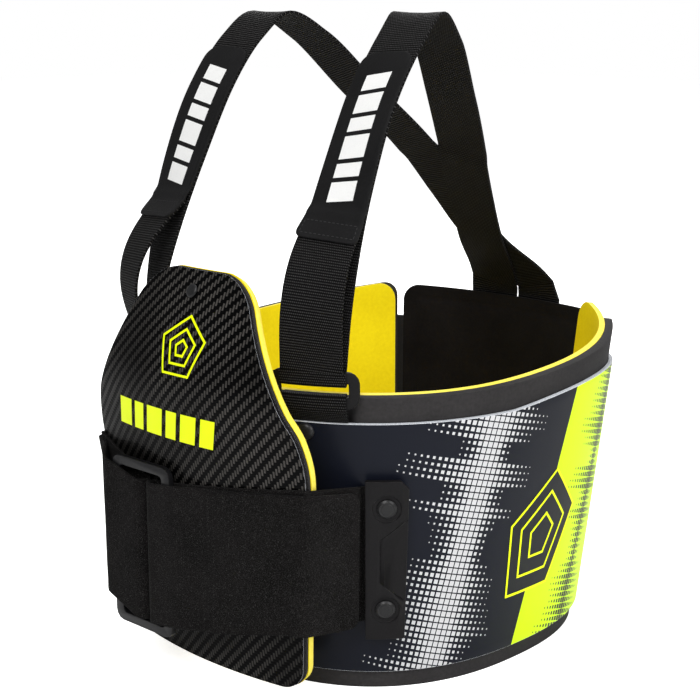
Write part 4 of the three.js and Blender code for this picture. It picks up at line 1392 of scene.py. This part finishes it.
for name, sign in sides.items():
    def onTab(place, aside):
        return tabPoint(place, aside / tab["width"], sign, tab["thickness"] / 2)

    def onTail(z, aside):
        return ringPoint(tailStart(sign) + aside, landingOut + half, z)

    def sew(title, slot, pointAt, ends):
        rows = [stitchRow(f"{title}_{n}", pointAt, *pair, seam["pitch"]) for n, pair in enumerate(ends)]
        settle(joinPieces(rows, f"{name}_{title}_stitches"), slot, look=threadBlack)

    edge = tab["width"] / 2 - seam["tabInset"]
    low, high = seam["tabRows"]
    across = [((place, -edge), (place, edge)) for place in (low, high)]
    lengthways = [((low, aside), (high, aside)) for aside in (-edge, edge)]
    sew("tab", "black_cloth", onTab, across + lengthways)

    low, high = landingTop - shoulder["tail"] + seam["tailLow"], landingTop - seam["tailHigh"]
    edge = webbing["width"] / 2 - seam["tailInset"]
    corners = [(low, -edge), (low, edge), (high, edge), (high, -edge)]
    box = [(corners[n], corners[(n + 1) % 4]) for n in range(4)]
    sew("tail", "webbing", onTail, box + [(corners[n], corners[n + 2]) for n in range(2)])
print("stitches ready")


# printed marks: generic outlines and slanted blocks, thin films on their surface

film = dict(thickness=0.12, lift=0.03)


def filmFrom(name, corners, cuts, pointAt, outline=None):  # outline keeps only a rim of that width
    mesh = bpy.data.meshes.new(name)
    mesh.from_pydata([(a * mm, b * mm, 0) for a, b in corners], [], [list(range(len(corners)))])
    piece = addObject(name, mesh)
    steps = [lambda: bpy.ops.mesh.subdivide(number_cuts=cuts)]
    if outline:
        steps = [
            lambda: bpy.ops.mesh.inset(thickness=outline * mm, depth=0),
            lambda: bpy.ops.mesh.delete(type="FACE"),
            lambda: bpy.ops.mesh.select_all(action="SELECT"),
        ] + steps
    elif len(corners) > 4:
        steps.insert(0, bpy.ops.mesh.poke)
    editMesh(piece, *steps)
    for vertex in mesh.vertices:
        vertex.co = pointAt(vertex.co.x / mm, vertex.co.y / mm) * mm
    return piece


def pentagon(mark, share=1):
    points = []
    for k in range(5):
        angle = math.radians(90 + 72 * k)
        rise = mark["radius"] * share * math.sin(angle)
        aside = mark["radius"] * share * mark["squeeze"] * math.cos(angle)
        points.append((mark["along"] + aside + mark["slant"] * rise, mark["z"] + rise))
    return points


def nestedOutlines(name, mark, pointAt):
    return [
        filmFrom(f"{name}_{n}", pentagon(mark, share), cuts, pointAt, mark["ring"])
        for n, (share, cuts) in enumerate(mark["nested"])
    ]


def blockRow(name, row, pointAt):
    blocks = []
    place = row["start"]
    for n, width in enumerate(row["widths"]):
        lower = [(place, row["low"]), (place + width, row["low"])]
        upper = [(a + row["lean"], b + row["height"]) for a, b in reversed(lower)]
        blocks.append(filmFrom(f"{name}_{n}", lower + upper, 3, pointAt))
        place += width + row["space"]
    return blocks


def finishFilm(pieces, name, material, slot):
    whole = joinPieces(pieces, name)
    facesOutward(whole)
    paint(whole, material)
    thicken(whole, film["thickness"], 1)
    settle(whole, slot)


def onPlateFace(x, z):
    return Vector((x, plateFaceY(x, z) - film["lift"], z))


plateMark = dict(  # nested: each outline's share of the radius, and its cuts
    along=3, z=127, radius=21, squeeze=1, slant=0.15, ring=1.5, nested=((1, 4), (0.62, 4), (0.3, 2)),
)
plateRow = dict(start=-66, low=67, widths=(14, 10, 16, 10, 14, 12), height=19, lean=4.5, space=4.2)
marks = nestedOutlines("mark", plateMark, onPlateFace) + blockRow("mark_block", plateRow, onPlateFace)
finishFilm(marks, "plate_marks", neonInk, "carbon")

shellMark = dict(
    along=256, z=-10, radius=46, squeeze=0.85, slant=0.24, ring=1.7, nested=((1, 6), (0.68, 6), (0.36, 6)),
)
tabRow = dict(start=24, low=-9.5, widths=(12.5, 9, 15, 9, 12.5, 11), height=19, lean=3, space=3)
for name, sign in sides.items():
    def onShellFace(along, z, lift=film["lift"]):
        return ringPoint(sign * along, lift, z)

    def onGround(along, z):
        return onShellFace(along, z, film["thickness"] + 0.05)

    def onTabFace(place, aside):
        return tabPoint(place, aside / tab["width"], sign, tab["thickness"] / 2 + film["lift"])

    ground = filmFrom("shell_mark", pentagon(shellMark), 6, onShellFace)
    finishFilm([ground], f"{name}_shell_mark_ground", darkInk, "printed_shell")
    finishFilm(nestedOutlines("ring", shellMark, onGround), f"{name}_shell_mark", neonInk, "printed_shell")
    bars = joinPieces(blockRow("tab_bar", tabRow, onTabFace), f"{name}_tab_bars")
    paint(bars, whiteInk)
    thicken(bars, 2 * film["thickness"], 0)
    settle(bars, "black_cloth")
print("printed marks ready")
